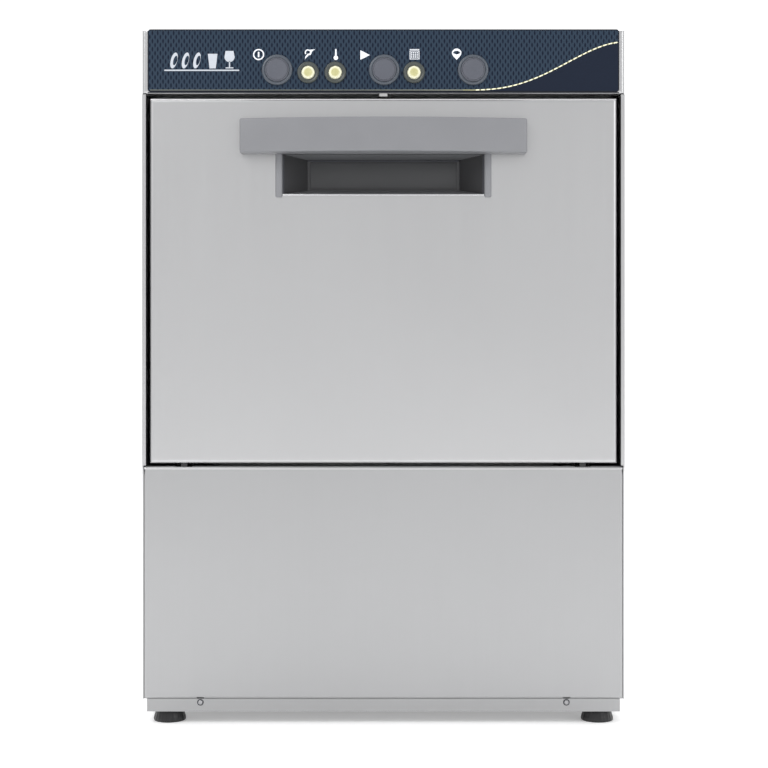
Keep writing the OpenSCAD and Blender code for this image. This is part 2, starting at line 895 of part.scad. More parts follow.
// Pump casing: a drum with its suction stub to the left and delivery to the rear
module pump_volute() {
    x = volute_x;
    mid = (x[0] + x[1]) / 2;
    color("dimgray") difference() {
        union() {
            rod_x(x, pump_y, pump_z, volute_r);
            rod_x([x[0] - 16, x[0] + 1], pump_y, pump_z, 19);
            rod_y(mid, [pump_y, pump_y + 65], delivery_z, 14);
        }
        rod_x([x[0] + 4, x[1] - 4], pump_y, pump_z, volute_r - 5);
        rod_x([x[0] - 17, x[0] + 5], pump_y, pump_z, 15);
        rod_y(mid, [pump_y, pump_y + 66], delivery_z, 10.5);
        rod_x([x[1] - 5, x[1] + 1], pump_y, pump_z, shaft_r + fit);
    }
}

// Impeller and shaft, which turn together
module pump_rotor() {
    x = [volute_x[0] + 6, volute_x[1] - 6];
    color("gray") {
        rod_x([x[1] - 3, x[1]], pump_y, pump_z, 38);
        rod_x([x[0], x[1]], pump_y, pump_z, 11);
        rod_x([x[1] - 1, motor_end - 2], pump_y, pump_z, shaft_r);
        for (a = [0 : 60 : 300]) {
            translate([x[0] + 3, pump_y, pump_z]) rotate([a, 0, 0])
                translate([0, 9, -1.5]) cube([x[1] - x[0] - 4, 27, 3]);
        }
    }
}

module pump_motor() {
    color("silver") difference() {
        union() {
            rod_x([volute_x[1], motor_end], pump_y, pump_z, 43);
            box([66, 136], [pump_y - 36, pump_y + 36], [foot_show + 2, pump_z - 30]);
            box([80, 120], [pump_y - 62, pump_y - 36], [pump_z - 14, pump_z + 20]);
        }
        rod_x([volute_x[1] - 1, motor_end - 1], pump_y, pump_z, shaft_r + fit);
    }
}

// Rubber and copper pipes: suction, delivery, rinse feed and drain
module hoses() {
    duct_y = pump_y + 65;
    duct_x = (volute_x[0] + volute_x[1]) / 2;
    riser_y = rear_y - 13;
    over_z = 545;
    color("black") {
        pipe([[suction_x, pump_y, tank_bottom], [suction_x, pump_y, pump_z],
              [volute_x[0] - 16, pump_y, pump_z]], 17);
        pipe([[duct_x, duct_y, delivery_z], [duct_x, duct_y + duct_run, delivery_z],
              [arm_axis[0], duct_y + duct_run, delivery_z],
              [arm_axis[0], arm_axis[1], delivery_z],
              [arm_axis[0], arm_axis[1], post_bottom]], 13);
    }
    color("peru") {
        pipe([[-60, boiler_y + boiler_r, boiler_z], [-60, riser_y, boiler_z],
              [-60, riser_y, over_z], [arm_axis[0], 190, over_z],
              [arm_axis[0], arm_axis[1], over_z],
              [arm_axis[0], arm_axis[1], chamber_z[1] + 16]], 5);
    }
    color("dimgray") {
        pipe([[drain_axis[0], drain_axis[1], drain_seat_z],
              [drain_axis[0], drain_axis[1], 75], [drain_x, 150, connect_z],
              [drain_x, recess_y - 13, connect_z]], 12);
    }
}

// Rinse boiler: a steel drum lying across the back
module boiler() {
    color("silver") difference() {
        rod_x(boiler_x, boiler_y, boiler_z, boiler_r);
        rod_x([boiler_x[0] + 1.5, boiler_x[1] - 1.5], boiler_y, boiler_z, boiler_r - 1.5);
        rod_x([boiler_x[1] - 2, boiler_x[1] + 1], boiler_y, boiler_z, 26);
    }
}
module boiler_heater() {
    face = boiler_x[1];
    color("silver") {
        rod_x([face, face + 8], boiler_y, boiler_z, 36);
        rod_x([face - 4, face], boiler_y, boiler_z, 25.8);
        both_ways(12) rod_x([boiler_x[0] + 40, face - 2], boiler_y, boiler_z, 4);
        both_ways(12) rod_x([face + 7, face + 18], boiler_y, boiler_z, 3);
    }
}

// ---------- connections ----------

// Tray that sets the connections back inside the rear panel
module connection_plate() {
    x = recess_x;
    z = recess_z;
    color("silver") difference() {
        box([-x, x], [recess_y, sheet_y], z);
        box([-x + gauge, x - gauge], [recess_y + gauge, sheet_y + 1], [z[0] + gauge, z[1] - gauge]);
        rod_y(inlet_x, [recess_y - 1, recess_y + 2], connect_z, inlet_r + fit);
        rod_y(drain_x, [recess_y - 1, recess_y + 2], connect_z, spigot_r + fit);
        rod_y(gland_x, [recess_y - 1, recess_y + 2], connect_z, 9);
    }
}

// Solenoid valve with its threaded tail through the plate
module inlet_valve() {
    color("white") {
        difference() {
            union() {
                rod_y(inlet_x, [recess_y - 1, tail_y[0]], connect_z, inlet_r - tail_relief);
                rod_y(inlet_x, tail_y, connect_z, inlet_r);
            }
            rod_y(inlet_x, [recess_y, tail_y[1] + 1], connect_z, 9);
        }
        rod_y(inlet_x, [recess_y - 40, recess_y], connect_z, 16);
        box([inlet_x - 14, inlet_x + 14], [recess_y - 36, recess_y - 10],
            [connect_z + 10, connect_z + 48]);
    }
}

module drain_spigot() {
    color("dimgray") difference() {
        union() {
            rod_y(drain_x, [recess_y - 13, tail_y[0]], connect_z, spigot_r - tail_relief);
            rod_y(drain_x, tail_y, connect_z, spigot_r);
            rod_y(drain_x, [recess_y - 8, recess_y], connect_z, 16);
        }
        rod_y(drain_x, [recess_y - 14, rear_y], connect_z, 8);
    }
}

// Cable gland for the mains lead
module mains_gland() {
    color("black") difference() {
        union() {
            rod_y(gland_x, [recess_y - 8, recess_y + 10], connect_z, 9);
            translate([gland_x, recess_y + gauge, connect_z]) rotate([-90, 0, 0])
                cylinder(r = 13, h = 6, $fn = 6);
            rod_y(gland_x, [recess_y + 6, recess_y + 18], connect_z, 11);
            rod_y(gland_x, [recess_y - 8, recess_y], connect_z, 12);
        }
        rod_y(gland_x, [recess_y - 9, recess_y + 19], connect_z, gland_r);
    }
}

// Metering pump for rinse aid
module rinse_aid_pump() {
    color("white") {
        box([-160, -120], [-120, -60], [foot_show + 2, 60]);
        rod_x([-120, -104], -90, 40, 20);
    }
}

module pressure_switch() {
    color("white") {
        rod_z(130, 20, [60, 82], 24);
        rod_z(130, 20, [82, 96], 4);
        box([120, 140], [10, 30], [foot_show + 2, 61]);
    }
}

module terminal_block() {
    color("ivory") {
        difference() {
            box([-60, 20], [60, 100], [foot_show + 2, 50]);
            for (i = [0 : 5]) {
                rod_z(-50 + 12 * i, 80, [40, 51], 3);
            }
        }
    }
}

// Screws of the base and the rear panel, as separate solids
module panel_screws() {
    color("silver") both_sides() {
        rod_y(base_screw[0], [front_y + 1.4, front_y + 2.6], base_screw[1], 2.85);
        rod_y(base_screw[0], [front_y + 2.5, front_y + 9], base_screw[1], 1.8);
        for (z = screw_rows) {
            rod_y(screw_x, [sheet_y + gauge, sheet_y + gauge + 2], z, 3.4);
            rod_y(screw_x, [sheet_y - 6, sheet_y + gauge + 0.5], z, 1.8);
        }
    }
}

// ---------- assembly ----------

base_pan();
side_panel_left();
side_panel_right();
rear_panel();
top_panel();
lower_front_panel();
fascia_panel();
fascia_overlay();
connection_plate();
hinge_brackets();
hinge_pins();
chamber_wrap();
chamber_back();
chamber_floor();
chamber_frame();
tank();
tank_heater();
rack_rails();
arm_post_lower();
arm_post_upper();
hoses();
pump_volute();
pump_motor();
boiler();
boiler_heater();
inlet_valve();
drain_spigot();
rinse_aid_pump();
pressure_switch();
control_board();
terminal_block();
mains_gland();
button_bezels();
switch_blocks();
lamp_bezels();
lamp_lenses();
door_catch();
panel_screws();
foot_nuts();
door_outer_panel();
door_inner_panel();
door_gasket();
handle_bar();
handle_pocket();
hinge_arms();
door_springs();
button_power();
button_start();
button_drain();
foot_front_left();
foot_front_right();
foot_rear_left();
foot_rear_right();
wash_arm();
rinse_arm_lower();
rinse_arm_upper();
pump_rotor();
standpipe();
tank_filter();
dish_rack();
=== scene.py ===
# %% [markdown]
# # A commercial dishwasher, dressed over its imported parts
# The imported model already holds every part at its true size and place. This lesson gives
# each part its finish, and builds in mesh code what plain solids can't show: rounded caps
# and lenses, a moulded grip, printed signs, springs, jets, thread and rack pegs.
# All lengths are metres, and the machine stands on the floor with its door towards -Y.

import math

import bmesh
import bpy
from mathutils import Matrix, Vector


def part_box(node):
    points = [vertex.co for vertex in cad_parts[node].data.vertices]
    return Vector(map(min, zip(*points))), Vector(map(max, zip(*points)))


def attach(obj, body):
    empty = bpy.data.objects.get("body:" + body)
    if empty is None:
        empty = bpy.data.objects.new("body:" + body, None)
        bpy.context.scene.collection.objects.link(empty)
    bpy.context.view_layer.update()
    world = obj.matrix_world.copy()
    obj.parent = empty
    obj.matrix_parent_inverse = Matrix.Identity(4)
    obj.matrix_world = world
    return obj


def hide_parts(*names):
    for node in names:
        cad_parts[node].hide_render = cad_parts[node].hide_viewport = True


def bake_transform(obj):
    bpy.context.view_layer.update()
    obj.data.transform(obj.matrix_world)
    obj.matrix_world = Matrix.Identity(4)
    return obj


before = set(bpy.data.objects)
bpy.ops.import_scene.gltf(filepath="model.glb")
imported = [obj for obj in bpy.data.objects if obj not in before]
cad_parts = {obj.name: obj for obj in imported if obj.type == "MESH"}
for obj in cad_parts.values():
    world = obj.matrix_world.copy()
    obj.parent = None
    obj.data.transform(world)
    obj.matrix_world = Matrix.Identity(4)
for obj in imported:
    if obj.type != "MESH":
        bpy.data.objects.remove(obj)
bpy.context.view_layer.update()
scene = bpy.context.scene
MM = 0.001

# %% [markdown]
# ## Camera and studio
# A catalogue picture is taken square on, from far enough away that the sides don't show,
# with a long lens. The eye is level with the middle of the machine, so it looks up at the
# ceiling of the grip's pocket.

# %% Camera
door_low, door_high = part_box("door_outer_panel")
DOOR_FACE = door_low.y
VIEW_DISTANCE = 1.29
HALF_WIDTH_SEEN = 0.3183
EYE_HEIGHT = 0.282
lens = bpy.data.cameras.new("catalogue_lens")
lens.sensor_width = 36.0
lens.lens = 18.0 * VIEW_DISTANCE / HALF_WIDTH_SEEN
camera = bpy.data.objects.new("catalogue_camera", lens)
camera.location = (0.0005, DOOR_FACE - VIEW_DISTANCE, EYE_HEIGHT)
camera.rotation_euler = (math.radians(90), 0, 0)
scene.collection.objects.link(camera)
scene.camera = camera
scene.view_settings.view_transform = "Standard"
print("lens in millimetres:", round(lens.lens, 1))

# %% [markdown]
# ## Light
# Bright steel shows what stands around it, so most of the light comes from the world: a
# white room, a little greyer overhead and towards the floor. Three large soft lamps add
# direction, and a white floor runs out of sight behind.

# %% World, lamps and floor
WORLD_BACK = 1.12
WORLD_FRONT = 0.86


def build_world():
    """A white room whose front half is slightly greyer, with a soft bright band at eye level."""
    world = bpy.data.worlds.new("white_room")
    scene.world = world
    world.use_nodes = True
    nodes, links = world.node_tree.nodes, world.node_tree.links
    nodes.clear()
    out = nodes.new("ShaderNodeOutputWorld")
    back = nodes.new("ShaderNodeBackground")
    coords = nodes.new("ShaderNodeTexCoord")
    split = nodes.new("ShaderNodeSeparateXYZ")
    links.new(coords.outputs["Generated"], split.inputs[0])
    side = nodes.new("ShaderNodeMapRange")
    side.interpolation_type = "SMOOTHSTEP"
    side.inputs["From Min"].default_value = -0.35
    side.inputs["From Max"].default_value = 0.45
    side.inputs["To Min"].default_value = WORLD_FRONT
    side.inputs["To Max"].default_value = WORLD_BACK
    links.new(split.outputs["Y"], side.inputs["Value"])
    height = nodes.new("ShaderNodeValToRGB")
    ramp = height.color_ramp
    ramp.elements[0].position, ramp.elements[0].color = 0.30, (0.78, 0.78, 0.79, 1)
    ramp.elements[1].position, ramp.elements[1].color = 0.66, (0.80, 0.80, 0.81, 1)
    middle = ramp.elements.new(0.50)
    middle.color = (1.06, 1.06, 1.065, 1)
    to_ramp = nodes.new("ShaderNodeMapRange")
    to_ramp.inputs["From Min"].default_value = -1
    links.new(split.outputs["Z"], to_ramp.inputs["Value"])
    links.new(to_ramp.outputs["Result"], height.inputs["Fac"])
    behind = nodes.new("ShaderNodeMix")
    behind.data_type = "RGBA"
    behind.inputs["B"].default_value = (1, 1, 1, 1)
    rear = nodes.new("ShaderNodeMapRange")
    rear.inputs["From Min"].default_value = 0.0
    rear.inputs["From Max"].default_value = 0.4
    links.new(split.outputs["Y"], rear.inputs["Value"])
    links.new(rear.outputs["Result"], behind.inputs["Factor"])
    links.new(height.outputs["Color"], behind.inputs["A"])
    links.new(behind.outputs["Result"], back.inputs["Color"])
    links.new(side.outputs["Result"], back.inputs["Strength"])
    links.new(back.outputs["Background"], out.inputs["Surface"])


def soft_lamp(name, place, aim, size, watts):
    """A square area lamp at place, turned towards aim."""
    data = bpy.data.lights.new(name, "AREA")
    data.size = size
    data.energy = watts
    lamp = bpy.data.objects.new(name, data)
    lamp.location = place
    lamp.rotation_euler = (Vector(aim) - Vector(place)).to_track_quat("-Z", "Y").to_euler()
    lamp.visible_camera = False
    scene.collection.objects.link(lamp)


def build_floor():
    mesh = bpy.data.meshes.new("studio_floor")
    half = 30.0
    mesh.from_pydata([(-half, -half, 0), (half, -half, 0), (half, half, 0), (-half, half, 0)], [],
                     [(0, 1, 2, 3)])
    floor = bpy.data.objects.new("studio_floor", mesh)
    scene.collection.objects.link(floor)
    paint = bpy.data.materials.new("floor_white")
    paint.use_nodes = True
    shader = paint.node_tree.nodes["Principled BSDF"]
    shader.inputs["Base Color"].default_value = (0.93, 0.93, 0.93, 1)
    shader.inputs["Roughness"].default_value = 0.9
    shader.inputs["Emission Color"].default_value = (1, 1, 1, 1)
    shader.inputs["Emission Strength"].default_value = 0.25
    mesh.materials.append(paint)


build_world()
soft_lamp("key_lamp", (-1.3, -1.7, 1.9), (0, 0, 0.3), 1.2, 22)
soft_lamp("fill_lamp", (1.5, -1.5, 1.2), (0, 0, 0.3), 1.2, 10)
soft_lamp("top_lamp", (0, 0.6, 2.4), (0, 0.3, 0), 2.0, 34)
build_floor()

# %% [markdown]
# ## Shared surface effects
# Three effects turn up on many finishes, so each is a shader node group, built once:
# a grain that runs one way (rolled sheet), soft clouds (handling and wiping marks), and a
# fine pebble (the texture of a mould). Each gives out one value that changes over the surface,
# and the material decides what that value does.

# %% Node groups for grain, clouds and mould texture
def open_group(name, inputs, outputs):
    """A new shader group with float inputs {name: value} and the named outputs."""
    tree = bpy.data.node_groups.new(name, "ShaderNodeTree")
    for label, value in inputs.items():
        socket = tree.interface.new_socket(label, in_out="INPUT", socket_type="NodeSocketFloat")
        socket.default_value = value
    for label in outputs:
        tree.interface.new_socket(label, in_out="OUTPUT", socket_type="NodeSocketFloat")
    return tree, tree.nodes.new("NodeGroupInput"), tree.nodes.new("NodeGroupOutput")


def math_node(tree, operation, a, b=None, clamp=False):
    """A Math node whose operands are numbers or sockets; gives back its output socket."""
    node = tree.nodes.new("ShaderNodeMath")
    node.operation = operation
    node.use_clamp = clamp
    for slot_index, value in enumerate((a, b)):
        if value is None:
            continue
        if isinstance(value, (int, float)):
            node.inputs[slot_index].default_value = value
        else:
            tree.links.new(value, node.inputs[slot_index])
    return node.outputs[0]


def object_axes(tree):
    """The three Object coordinates as separate sockets."""
    coords = tree.nodes.new("ShaderNodeTexCoord")
    split = tree.nodes.new("ShaderNodeSeparateXYZ")
    tree.links.new(coords.outputs["Object"], split.inputs[0])
    return split.outputs["X"], split.outputs["Y"], split.outputs["Z"]


def stretched_noise(tree, scale_socket_x, scale_socket_z, detail):
    """Noise on Object coordinates, with its own scale across (X and Y) and along (Z)."""
    x, y, z = object_axes(tree)
    join = tree.nodes.new("ShaderNodeCombineXYZ")
    tree.links.new(math_node(tree, "MULTIPLY", x, scale_socket_x), join.inputs[0])
    tree.links.new(math_node(tree, "MULTIPLY", y, scale_socket_x), join.inputs[1])
    tree.links.new(math_node(tree, "MULTIPLY", z, scale_socket_z), join.inputs[2])
    noise = tree.nodes.new("ShaderNodeTexNoise")
    noise.inputs["Scale"].default_value = 1.0
    noise.inputs["Detail"].default_value = detail
    tree.links.new(join.outputs[0], noise.inputs["Vector"])
    return noise.outputs["Fac"]


def grain_group():
    tree, start, end = open_group("rolled_grain", {"Across": 900, "Along": 7}, ["Grain"])
    streaks = stretched_noise(tree, start.outputs["Across"], start.outputs["Along"], 3)
    tree.links.new(streaks, end.inputs["Grain"])
    return tree


def cloud_group():
    tree, start, end = open_group("handling_clouds", {"Size": 6, "Sharpness": 2}, ["Clouds"])
    noise = stretched_noise(tree, start.outputs["Size"], start.outputs["Size"], 4)
    centred = math_node(tree, "SUBTRACT", noise, 0.5)
    spread = math_node(tree, "MULTIPLY", centred, start.outputs["Sharpness"])
    tree.links.new(math_node(tree, "ADD", spread, 0.5, clamp=True), end.inputs["Clouds"])
    return tree


def pebble_group():
    tree, start, end = open_group("mould_pebble", {"Size": 1800}, ["Height"])
    tree.links.new(stretched_noise(tree, start.outputs["Size"], start.outputs["Size"], 2),
                   end.inputs["Height"])
    return tree


GRAIN, CLOUDS, PEBBLE = grain_group(), cloud_group(), pebble_group()
print("shared groups:", GRAIN.name, CLOUDS.name, PEBBLE.name)

# %% [markdown]
# ## Finishes
# The cabinet is stainless sheet with a satin polish: a metal shader whose roughness and
# height follow the grain, and whose colour drifts a little with the clouds. Plastics are
# the same idea with a pebble for height. Plain numbers, such as Metallic, sit on the
# shader's own sockets, so that they survive export.

# %% Material builders
def new_finish(name, colour, roughness, metallic=0.0):
    paint = bpy.data.materials.new(name)
    paint.use_nodes = True
    shader = paint.node_tree.nodes["Principled BSDF"]
    shader.inputs["Base Color"].default_value = (*colour, 1)
    shader.inputs["Roughness"].default_value = roughness
    shader.inputs["Metallic"].default_value = metallic
    return paint, paint.node_tree, shader


def place_group(tree, group, **values):
    node = tree.nodes.new("ShaderNodeGroup")
    node.node_tree = group
    for label, value in values.items():
        node.inputs[label].default_value = value
    return node.outputs[0]


def mix_colours(tree, factor, a, b):
    """Mixes two colours, each a tuple or a socket, by a socket."""
    node = tree.nodes.new("ShaderNodeMix")
    node.data_type = "RGBA"
    tree.links.new(factor, node.inputs["Factor"])
    for label, value in (("A", a), ("B", b)):
        if isinstance(value, tuple):
            node.inputs[label].default_value = (*value, 1)
        else:
            tree.links.new(value, node.inputs[label])
    return node.outputs["Result"]


def remap(tree, value, low, high):
    node = tree.nodes.new("ShaderNodeMapRange")
    node.inputs["To Min"].default_value = low
    node.inputs["To Max"].default_value = high
    tree.links.new(value, node.inputs["Value"])
    return node.outputs["Result"]


def bump(tree, shader, height, strength, distance=0.0002):
    node = tree.nodes.new("ShaderNodeBump")
    node.inputs["Strength"].default_value = strength
    node.inputs["Distance"].default_value = distance
    tree.links.new(height, node.inputs["Height"])
    tree.links.new(node.outputs["Normal"], shader.inputs["Normal"])


def sheet_steel(name, colour, roughness, across=900, along=7, relief=0.06):
    """Satin stainless sheet: grain in its roughness and height, clouds in its colour."""
    paint, tree, shader = new_finish(name, colour, roughness, metallic=1.0)
    grain = place_group(tree, GRAIN, Across=across, Along=along)
    clouds = place_group(tree, CLOUDS, Size=5.0, Sharpness=1.6)
    tint = mix_colours(tree, clouds, tuple(c * 0.975 for c in colour),
                       tuple(min(1, c * 1.02) for c in colour))
    tree.links.new(tint, shader.inputs["Base Color"])
    tree.links.new(remap(tree, grain, roughness - 0.05, roughness + 0.06),
                   shader.inputs["Roughness"])
    bump(tree, shader, grain, relief, 0.0001)
    return paint


def moulded(name, colour, roughness, relief=0.12, size=1800, drift=0.06):
    """Moulded plastic or rubber: a pebbled skin, and a slight drift of colour."""
    paint, tree, shader = new_finish(name, colour, roughness)
    clouds = place_group(tree, CLOUDS, Size=30.0, Sharpness=2.0)
    tint = mix_colours(tree, clouds, tuple(c * (1 - drift) for c in colour),
                       tuple(min(1, c * (1 + drift)) for c in colour))
    tree.links.new(tint, shader.inputs["Base Color"])
    tree.links.new(remap(tree, clouds, roughness - 0.04, roughness + 0.05),
                   shader.inputs["Roughness"])
    bump(tree, shader, place_group(tree, PEBBLE, Size=size), relief)
    return paint


# %% The finishes themselves
STEEL = sheet_steel("satin_stainless", (0.50, 0.502, 0.507), 0.36)
# A darker copy of the cabinet's stainless for the lower panel: painted shade.
STEEL_LOWER_SHADED = sheet_steel("lower_panel_stainless", (0.41, 0.412, 0.417), 0.38)
STEEL_INNER = sheet_steel("pressed_stainless", (0.58, 0.585, 0.59), 0.30, across=240, relief=0.015)
# A darker copy for the plinth, set back under the lower panel: painted shade.
STEEL_PLINTH_SHADED = sheet_steel("plinth_stainless", (0.385, 0.387, 0.391), 0.42)
STEEL_WORKS = sheet_steel("plain_steel_works", (0.30, 0.31, 0.32), 0.45, across=300, along=40)
PLATED = sheet_steel("plated_fixings", (0.60, 0.60, 0.60), 0.28, across=700, along=700)
SCREW_STEEL = sheet_steel("screw_steel", (0.42, 0.42, 0.43), 0.36, across=700, along=700)
# Near black for the pocket's side walls: painted shade in the recess.
POCKET_SIDE_SHADE = moulded("pocket_side_grey", (0.022, 0.022, 0.024), 0.5)
# Hinge brackets, arms and pins darkened to near black.
HINGE_BLACK = moulded("hinge_black_oxide", (0.012, 0.012, 0.013), 0.5)
# A much darker copy of the stainless for the top panel, which faces the top lamp: painted shade.
STEEL_TOP_SHADED = sheet_steel("lid_stainless", (0.27, 0.272, 0.276), 0.5)
# Near-white steel for the rounded folds: painted highlight.
FOLD_HIGHLIGHT = sheet_steel("bright_fold", (0.93, 0.93, 0.935), 0.2, relief=0.02)
GRIP = moulded("grip_grey", (0.195, 0.198, 0.210), 0.45, size=2400, drift=0.03)
POCKET = moulded("pocket_grey", (0.118, 0.121, 0.128), 0.50, drift=0.04)
# Darker grey for the back of the pocket: painted shade deep in the recess.
POCKET_BACK_SHADE = moulded("pocket_back_grey", (0.052, 0.053, 0.056), 0.50, drift=0.04)
CAP_GREY = moulded("button_cap_grey", (0.088, 0.094, 0.115), 0.38, relief=0.05)
BEZEL_GREY = moulded("bezel_grey", (0.069, 0.081, 0.100), 0.30, relief=0.03)
LAMP_BEZEL = moulded("lamp_bezel_grey", (0.051, 0.058, 0.053), 0.33, relief=0.03)
# Near black used for painted shade: strips in the pocket, under the fascia and round the plinth
# screws.
SHADE_BLACK = moulded("bezel_gap_black", (0.03, 0.032, 0.04), 0.5)
RUBBER = moulded("seal_rubber", (0.03, 0.03, 0.032), 0.55, relief=0.2, size=900)
FOOT_BLACK = moulded("foot_nylon", (0.009, 0.009, 0.010), 0.30, relief=0.1)
ARM_PLASTIC = moulded("arm_polypropylene", (0.035, 0.038, 0.042), 0.42)
CASING = moulded("pump_casing", (0.05, 0.053, 0.056), 0.45)
WHITE_PLASTIC = moulded("white_moulding", (0.72, 0.72, 0.69), 0.40)
BOARD = moulded("board_green", (0.012, 0.11, 0.045), 0.35)
MOTOR = moulded("motor_enamel", (0.14, 0.16, 0.19), 0.35)
RACK = moulded("rack_blue", (0.035, 0.12, 0.30), 0.40)
INK_WHITE = moulded("ink_white", (0.80, 0.82, 0.86), 0.45, relief=0.02, drift=0.02)
INK_SILVER = moulded("ink_silver", (0.50, 0.53, 0.58), 0.42, relief=0.02, drift=0.03)
INK_YELLOW = moulded("ink_yellow", (0.36, 0.35, 0.19), 0.45, relief=0.02, drift=0.02)
# Pale yellow for the dashes on the sweep line: painted highlight.
DASH_HIGHLIGHT = moulded("ink_pale_yellow", (0.93, 0.91, 0.66), 0.45, relief=0.02, drift=0.02)
print("finishes made:", len(bpy.data.materials))

# %% [markdown]
# ## The lamp lens
# A pilot lamp's lens is clouded ivory plastic that glows a little from behind. Its heart is
# thicker, and so deeper in colour, than its rim. The mesh says where the rim is, with an
# attribute that goes from 0 at the heart to 1 at the rim, and the material mixes by it.

# %% Lens finish
def lens_finish():
    paint, tree, shader = new_finish("lens_ivory", (0.70, 0.66, 0.38), 0.22)
    clouds = place_group(tree, CLOUDS, Size=260.0, Sharpness=2.0)
    heart = mix_colours(tree, clouds, (0.43, 0.41, 0.19), (0.54, 0.52, 0.28))
    rim = tree.nodes.new("ShaderNodeAttribute")
    rim.attribute_name = "rim"
    tint = mix_colours(tree, rim.outputs["Fac"], heart, (0.78, 0.77, 0.58))
    tree.links.new(tint, shader.inputs["Base Color"])
    tree.links.new(tint, shader.inputs["Emission Color"])
    shader.inputs["Emission Strength"].default_value = 0.05
    tree.links.new(remap(tree, clouds, 0.18, 0.3), shader.inputs["Roughness"])
    return paint


LENS = lens_finish()

# %% [markdown]
# ## The printed overlay
# The fascia wears a printed film. Its ground is navy with a staggered lattice of upright
# lens-shaped spots, and a rising sweep parts that from a plain dark corner. Both are simple
# rules, so the print is worked out in the shader from the place on the film. The sweep's
# rule is needed twice, here and for the raised line, so its numbers are kept in one place.

# %% The sweep's rule and the film's finish
film_low, film_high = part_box("fascia_overlay")
SWEEP_START = 0.070
SWEEP_RUN = 0.128
SWEEP_POWER = 1.36
SWEEP_FOOT = film_low.z + 1.6 * MM
SWEEP_RISE = 39.6 * MM
SPOT_PITCH = (4.4 * MM, 6.7 * MM)
SPOT_SIZE = (0.86 * MM, 2.5 * MM)


def sweep_height(x):
    """Height of the printed sweep at x: flat, then a slow start and a soft landing."""
    share = min(1.0, max(0.0, (x - SWEEP_START) / SWEEP_RUN)) ** SWEEP_POWER
    return SWEEP_FOOT + SWEEP_RISE * share * share * (3 - 2 * share)


def lattice_group():
    """1 inside the lens-shaped spots of a staggered lattice, and 0 between them."""
    tree, start, end = open_group("spot_lattice", {"Pitch X": 1, "Pitch Z": 1, "Width": 1,
                                                   "Height": 1}, ["Spots"])
    x, _, z = object_axes(tree)
    rows = []
    for shift in (0.0, 0.5):
        cell_x = math_node(tree, "ADD", math_node(tree, "DIVIDE", x, start.outputs["Pitch X"]),
                           shift + 100.0)
        cell_z = math_node(tree, "ADD", math_node(tree, "DIVIDE", z, start.outputs["Pitch Z"]),
                           shift + 100.0)
        off_x = math_node(tree, "SUBTRACT", math_node(tree, "FRACT", cell_x), 0.5)
        off_z = math_node(tree, "SUBTRACT", math_node(tree, "FRACT", cell_z), 0.5)
        dx = math_node(tree, "MULTIPLY", off_x, start.outputs["Pitch X"])
        dz = math_node(tree, "MULTIPLY", off_z, start.outputs["Pitch Z"])
        u = math_node(tree, "ABSOLUTE", math_node(tree, "DIVIDE", dx, start.outputs["Width"]))
        v = math_node(tree, "ABSOLUTE", math_node(tree, "DIVIDE", dz, start.outputs["Height"]))
        reach = math_node(tree, "SUBTRACT", 1.0, math_node(tree, "MULTIPLY", v, v))
        inside = math_node(tree, "SUBTRACT", reach, u)
        rows.append(math_node(tree, "MULTIPLY", inside, 2.5, clamp=True))
    tree.links.new(math_node(tree, "MAXIMUM", rows[0], rows[1]), end.inputs["Spots"])
    return tree


LATTICE = lattice_group()


def film_finish():
    ground, spot, plain, rim = ((0.0215, 0.037, 0.060), (0.002, 0.006, 0.018),
                                (0.0075, 0.0125, 0.026), (0.006, 0.008, 0.013))
    paint, tree, shader = new_finish("printed_film", ground, 0.42)
    x, _, z = object_axes(tree)
    spots = place_group(tree, LATTICE, **{"Pitch X": SPOT_PITCH[0], "Pitch Z": SPOT_PITCH[1],
                                          "Width": SPOT_SIZE[0], "Height": SPOT_SIZE[1]})
    patterned = mix_colours(tree, spots, ground, spot)
    run = math_node(tree, "DIVIDE", math_node(tree, "SUBTRACT", x, SWEEP_START), SWEEP_RUN,
                    clamp=True)
    share = math_node(tree, "POWER", run, SWEEP_POWER)
    ease = math_node(tree, "SUBTRACT", 3.0, math_node(tree, "MULTIPLY", share, 2.0))
    rise = math_node(tree, "MULTIPLY", math_node(tree, "MULTIPLY", share, share), ease)
    line = math_node(tree, "ADD", math_node(tree, "MULTIPLY", rise, SWEEP_RISE), SWEEP_FOOT)
    below = math_node(tree, "GREATER_THAN", line, z)
    body = mix_colours(tree, below, patterned, plain)
    half, edge = film_high.x, 0.9 * MM
    near_side = math_node(tree, "GREATER_THAN", math_node(tree, "ABSOLUTE", x), half - edge)
    near_top = math_node(tree, "GREATER_THAN", z, film_high.z - edge)
    near_foot = math_node(tree, "LESS_THAN", z, film_low.z + edge)
    border = math_node(tree, "MAXIMUM", math_node(tree, "MAXIMUM", near_side, near_top), near_foot)
    tree.links.new(mix_colours(tree, border, body, rim), shader.inputs["Base Color"])
    clouds = place_group(tree, CLOUDS, Size=12.0, Sharpness=2.0)
    tree.links.new(remap(tree, clouds, 0.38, 0.46), shader.inputs["Roughness"])
    bump(tree, shader, place_group(tree, PEBBLE, Size=3000), 0.04)
    shader.inputs["Specular IOR Level"].default_value = 0.16
    return paint


FILM = film_finish()
print("sweep runs from", round(sweep_height(0) / MM, 1), "to", round(sweep_height(0.2) / MM, 1))

# %% [markdown]
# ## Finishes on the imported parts
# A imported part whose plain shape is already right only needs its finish. This table says
# which finish each of them wears; the parts that get a richer mesh come after it.

